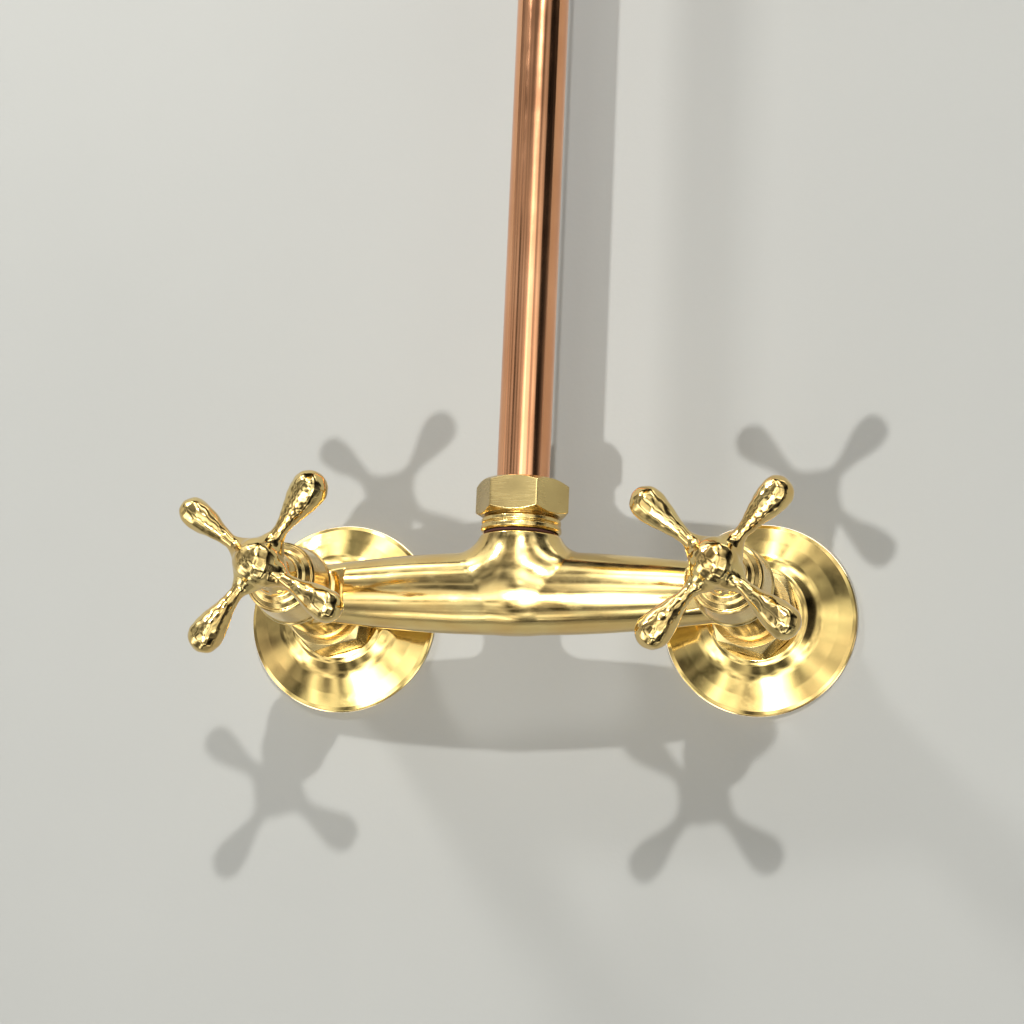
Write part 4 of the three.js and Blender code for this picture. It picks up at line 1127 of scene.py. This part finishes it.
class SHOWER_OT_inner_parts(PieceOperator, bpy.types.Operator):
    """Gives the parts that stay inside, such as spindles, discs, seals and olives, their own finishes"""

    bl_idname = "shower.inner_parts"
    bl_label = "Inner Parts"

    def make(self):
        finishes = {
            "turned_brass": turned_dull_brass(),
            "polished_brass": polished_cast_brass(),
            "steel": bright_steel(),
            "ceramic": lapped_alumina(),
            "black_rubber": nitrile_rubber(),
            "fibre": vulcanised_fibre(),
            "polished_copper": drawn_copper(),
        }
        for part in frame["record"]["subparts"]:
            mesh = frame["nodes"][part["node"]].data
            mesh.materials.clear()
            mesh.materials.append(finishes[part["material_slot"]])


# How bright the studio is at each elevation in degrees: floor, furniture, far wall, upper wall, ceiling.
LEVELS = (
    (-88, 0.06), (-81, 0.4), (-72, 1.5), (-62, 1.5), (-53, 0.5), (-42, 0.7), (-34, 2.3), (-22, 2.3),
    (-13, 1.0), (-2, 0.85), (14, 0.85), (21, 0.25), (26, 0.25), (33, 0.6), (42, 1.0), (50, 2.4), (68, 2.4),
    (78, 0.2), (84, 0.03), )
# How much brighter or darker it is at each azimuth, from the far left round the front to the far right.
BEARINGS = (
    (-150, 1.5), (-95, 0.6), (-78, 0.8), (-66, 2.2), (-56, 2.0), (-48, 0.6), (-40, 0.7), (-32, 1.2),
    (-22, 1.0), (-8, 1.0), (-3, 4.5), (2, 4.5), (6, 1.9), (20, 1.9), (25, 0.9), (30, 0.9), (36, 2.0),
    (47, 1.6), (53, 0.1), (76, 0.06), (90, 0.9), (150, 1.5),
)
# Dark shapes in the studio, each with its azimuth, elevation and half-width in degrees.
SHADES = ((19, -26, 6), (62, 8, 7), (-58, -4, 6), (-40, -22, 4))


class SHOWER_OT_stage(PieceOperator, bpy.types.Operator):
    """Stage: wall, floor, studio lights and camera"""

    bl_idname = "shower.stage"
    bl_label = "Stage"

    def card(self, name, corners, material):
        """A flat four-sided card of the stage."""
        mesh = bpy.data.meshes.new(name)
        mesh.from_pydata(corners, [], [(0, 1, 2, 3)])
        mesh.materials.append(material)
        card = bpy.data.objects.new(name, mesh)
        bpy.context.scene.collection.objects.link(card)
        card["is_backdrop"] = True
        return card

    def towards(self, azimuth, elevation):
        """The way to a place at an azimuth and an elevation in degrees, counted from the front of the
        wall."""
        a, e = math.radians(azimuth), math.radians(elevation)
        return Vector((math.sin(a) * math.cos(e), -math.cos(a) * math.cos(e), math.sin(e)))

    def light(self, name, azimuth, elevation, distance, size, power):
        """An area light that looks at the mixer; the eye doesn't see it."""
        lamp = bpy.data.lights.new(name, "AREA")
        lamp.shape = "RECTANGLE"
        lamp.size, lamp.size_y = size
        lamp.energy = power
        holder = bpy.data.objects.new(name, lamp)
        bpy.context.scene.collection.objects.link(holder)
        way = self.towards(azimuth, elevation)
        holder.matrix_world = Matrix.LocRotScale(
            Vector((0, -0.06, 0.05)) + way * distance, way.to_track_quat("Z", "Y"), None
        )
        holder.visible_camera = False

    def camera(self):
        """A long lens below and to the right of the mixer, looking up at it, a little rolled."""
        azimuth, elevation, roll = 12.99, -11.87, math.radians(2.46)
        target = Vector((-15.18, 0, 39.06)) * MM
        back = self.towards(azimuth, elevation)
        side = self.towards(azimuth + 90, 0)
        up = back.cross(side)
        right = side * math.cos(roll) + up * math.sin(roll)
        lens = bpy.data.cameras.new("camera")
        lens.sensor_width, lens.lens = 36, 105.08
        lens.clip_start, lens.clip_end = 0.05, 30
        camera = bpy.data.objects.new("camera", lens)
        turn = Matrix((right, back.cross(right), back)).transposed()
        camera.matrix_world = Matrix.LocRotScale(target + back * 1.0655, turn.to_quaternion(), None)
        bpy.context.scene.collection.objects.link(camera)
        bpy.context.scene.camera = camera

    def ramp(self, tree, source, stops):
        """A colour ramp of greys over a value, from (position, strength) pairs."""
        node = put(tree, "ShaderNodeValToRGB", [("Fac", source)])
        while len(node.color_ramp.elements) < len(stops):
            node.color_ramp.elements.new(0.5)
        for element, (position, strength) in zip(node.color_ramp.elements, stops):
            element.position = position
            element.color = (strength, strength, strength * 0.985, 1)
        return node.outputs["Color"]

    def sky(self):
        """A studio all round, in soft level bands of light and dark, and plain pale grey to the eye."""
        world = bpy.data.worlds.new("studio")
        bpy.context.scene.world = world
        world.use_nodes = True
        tree = world.node_tree
        way = put(tree, "ShaderNodeTexCoord").outputs["Generated"]
        axes = put(tree, "ShaderNodeSeparateXYZ", [("Vector", way)]).outputs
        heights = [((math.sin(math.radians(e)) + 1) / 2, v) for e, v in LEVELS]
        levels = self.ramp(tree, mapped(tree, axes["Z"], -1.0, 1.0), heights)
        bearing = maths(tree, "ARCTAN2", axes["X"], maths(tree, "MULTIPLY", axes["Y"], -1.0))
        turn = mapped(tree, bearing, -math.pi, math.pi)
        bearings = self.ramp(tree, turn, [(a / 360 + 0.5, v) for a, v in BEARINGS])
        ramp = put(tree, "ShaderNodeVectorMath", [(0, levels), (1, bearings)], operation="MULTIPLY")
        patches = put(tree, "ShaderNodeTexNoise", [("Vector", way)], Scale=2.8, Detail=2.5).outputs["Fac"]
        light = mapped(tree, patches, 0.40, 0.60, 0.16, 1.5)
        for azimuth, elevation, half in SHADES:
            facing = put(tree, "ShaderNodeVectorMath", [(0, way)], operation="DOT_PRODUCT")
            facing.inputs[1].default_value = self.towards(azimuth, elevation)
            edge = math.cos(math.radians(half))
            clear = mapped(tree, facing.outputs["Value"], edge - 0.012, edge + 0.012, 1.0, 0.06)
            light = maths(tree, "MULTIPLY", light, clear)
        lit = put(tree, "ShaderNodeVectorMath", [(0, ramp.outputs["Vector"])], operation="SCALE")
        tree.links.new(lit.inputs["Scale"], light)
        ray = put(tree, "ShaderNodeLightPath").outputs
        seen = [("Factor", ray["Is Camera Ray"]), ("A", lit.outputs["Vector"])]
        shade = put(tree, "ShaderNodeMix", seen, data_type="RGBA")
        shade.inputs["B"].default_value = linear("#E4E4E0")
        spread = [("Factor", ray["Is Diffuse Ray"]), ("A", shade.outputs["Result"])]
        soft = put(tree, "ShaderNodeMix", spread, data_type="RGBA")
        soft.inputs["B"].default_value = (0.05, 0.05, 0.048, 1)
        tree.links.new(tree.nodes["Background"].inputs["Color"], soft.outputs["Result"])
        tree.nodes["Background"].inputs["Strength"].default_value = 1.0

    def make(self):
        wall_y, low, high, half = 0.0004, -1.1, 1.7, 1.6
        near, far = -2.3, wall_y
        wall = [(-half, wall_y, low), (half, wall_y, low), (half, wall_y, high), (-half, wall_y, high)]
        ground = [(-half, near, low), (half, near, low), (half, far, low), (-half, far, low)]
        self.card("stage_wall", wall, painted_plaster())
        floor = self.card("stage_floor", ground, studio_floor())
        floor.visible_glossy = floor.visible_diffuse = False
        self.light("key_above", 10.6, 29.3, 6.0, (0.15, 0.15), 200)
        self.light("key_below", -8.8, -22.9, 6.0, (0.15, 0.15), 240)
        self.light("window", -46, 38, 1.0, (0.12, 0.12), 4.0)
        self.light("behind", 180, 25, 2.8, (2.4, 1.2), 30)
        self.camera()
        self.sky()
        bpy.context.scene.view_settings.view_transform = "Standard"
        bpy.context.scene.view_settings.exposure = -0.28


class SHOWER_PT_panel(bpy.types.Panel):
    """Lists the shower column's sizes, colours and pieces in the sidebar."""

    bl_idname = "SHOWER_PT_panel"
    bl_label = "Shower Column"
    bl_space_type = "VIEW_3D"
    bl_region_type = "UI"
    bl_category = "Shower"

    def draw(self, context):
        for group in (context.scene.shower_sizes, context.scene.shower_colours):
            box = self.layout.box()
            for name in group.bl_rna.properties.keys():
                if name not in ("rna_type", "name"):
                    box.prop(group, name)
        for operator in OPERATORS:
            self.layout.operator(operator.bl_idname)


OPERATORS = (
    SHOWER_OT_inner_parts,
    SHOWER_OT_mixer_body,
    SHOWER_OT_cross_handles,
    SHOWER_OT_bells,
    SHOWER_OT_headworks,
    SHOWER_OT_flanges,
    SHOWER_OT_unions,
    SHOWER_OT_riser_joint,
    SHOWER_OT_riser_pipe,
    SHOWER_OT_bracket,
    SHOWER_OT_ball_joint,
    SHOWER_OT_rain_head,
    SHOWER_OT_stage,
)
CLASSES = (ShowerSizes, ShowerColours, *OPERATORS, SHOWER_PT_panel)


def register():
    for cls in CLASSES:
        bpy.utils.register_class(cls)
    bpy.types.Scene.shower_sizes = PointerProperty(type=ShowerSizes)
    bpy.types.Scene.shower_colours = PointerProperty(type=ShowerColours)


def unregister():
    del bpy.types.Scene.shower_colours
    del bpy.types.Scene.shower_sizes
    for cls in reversed(CLASSES):
        bpy.utils.unregister_class(cls)


def main():
    register()
    for operator in OPERATORS:
        group, action = operator.bl_idname.split(".")
        getattr(getattr(bpy.ops, group), action)()
    boxes = {"cad": cad_box, "visual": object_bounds()}
    {name: [list(corner) for corner in box] for name, box in boxes.items()}


if __name__ == "__main__":
    main()
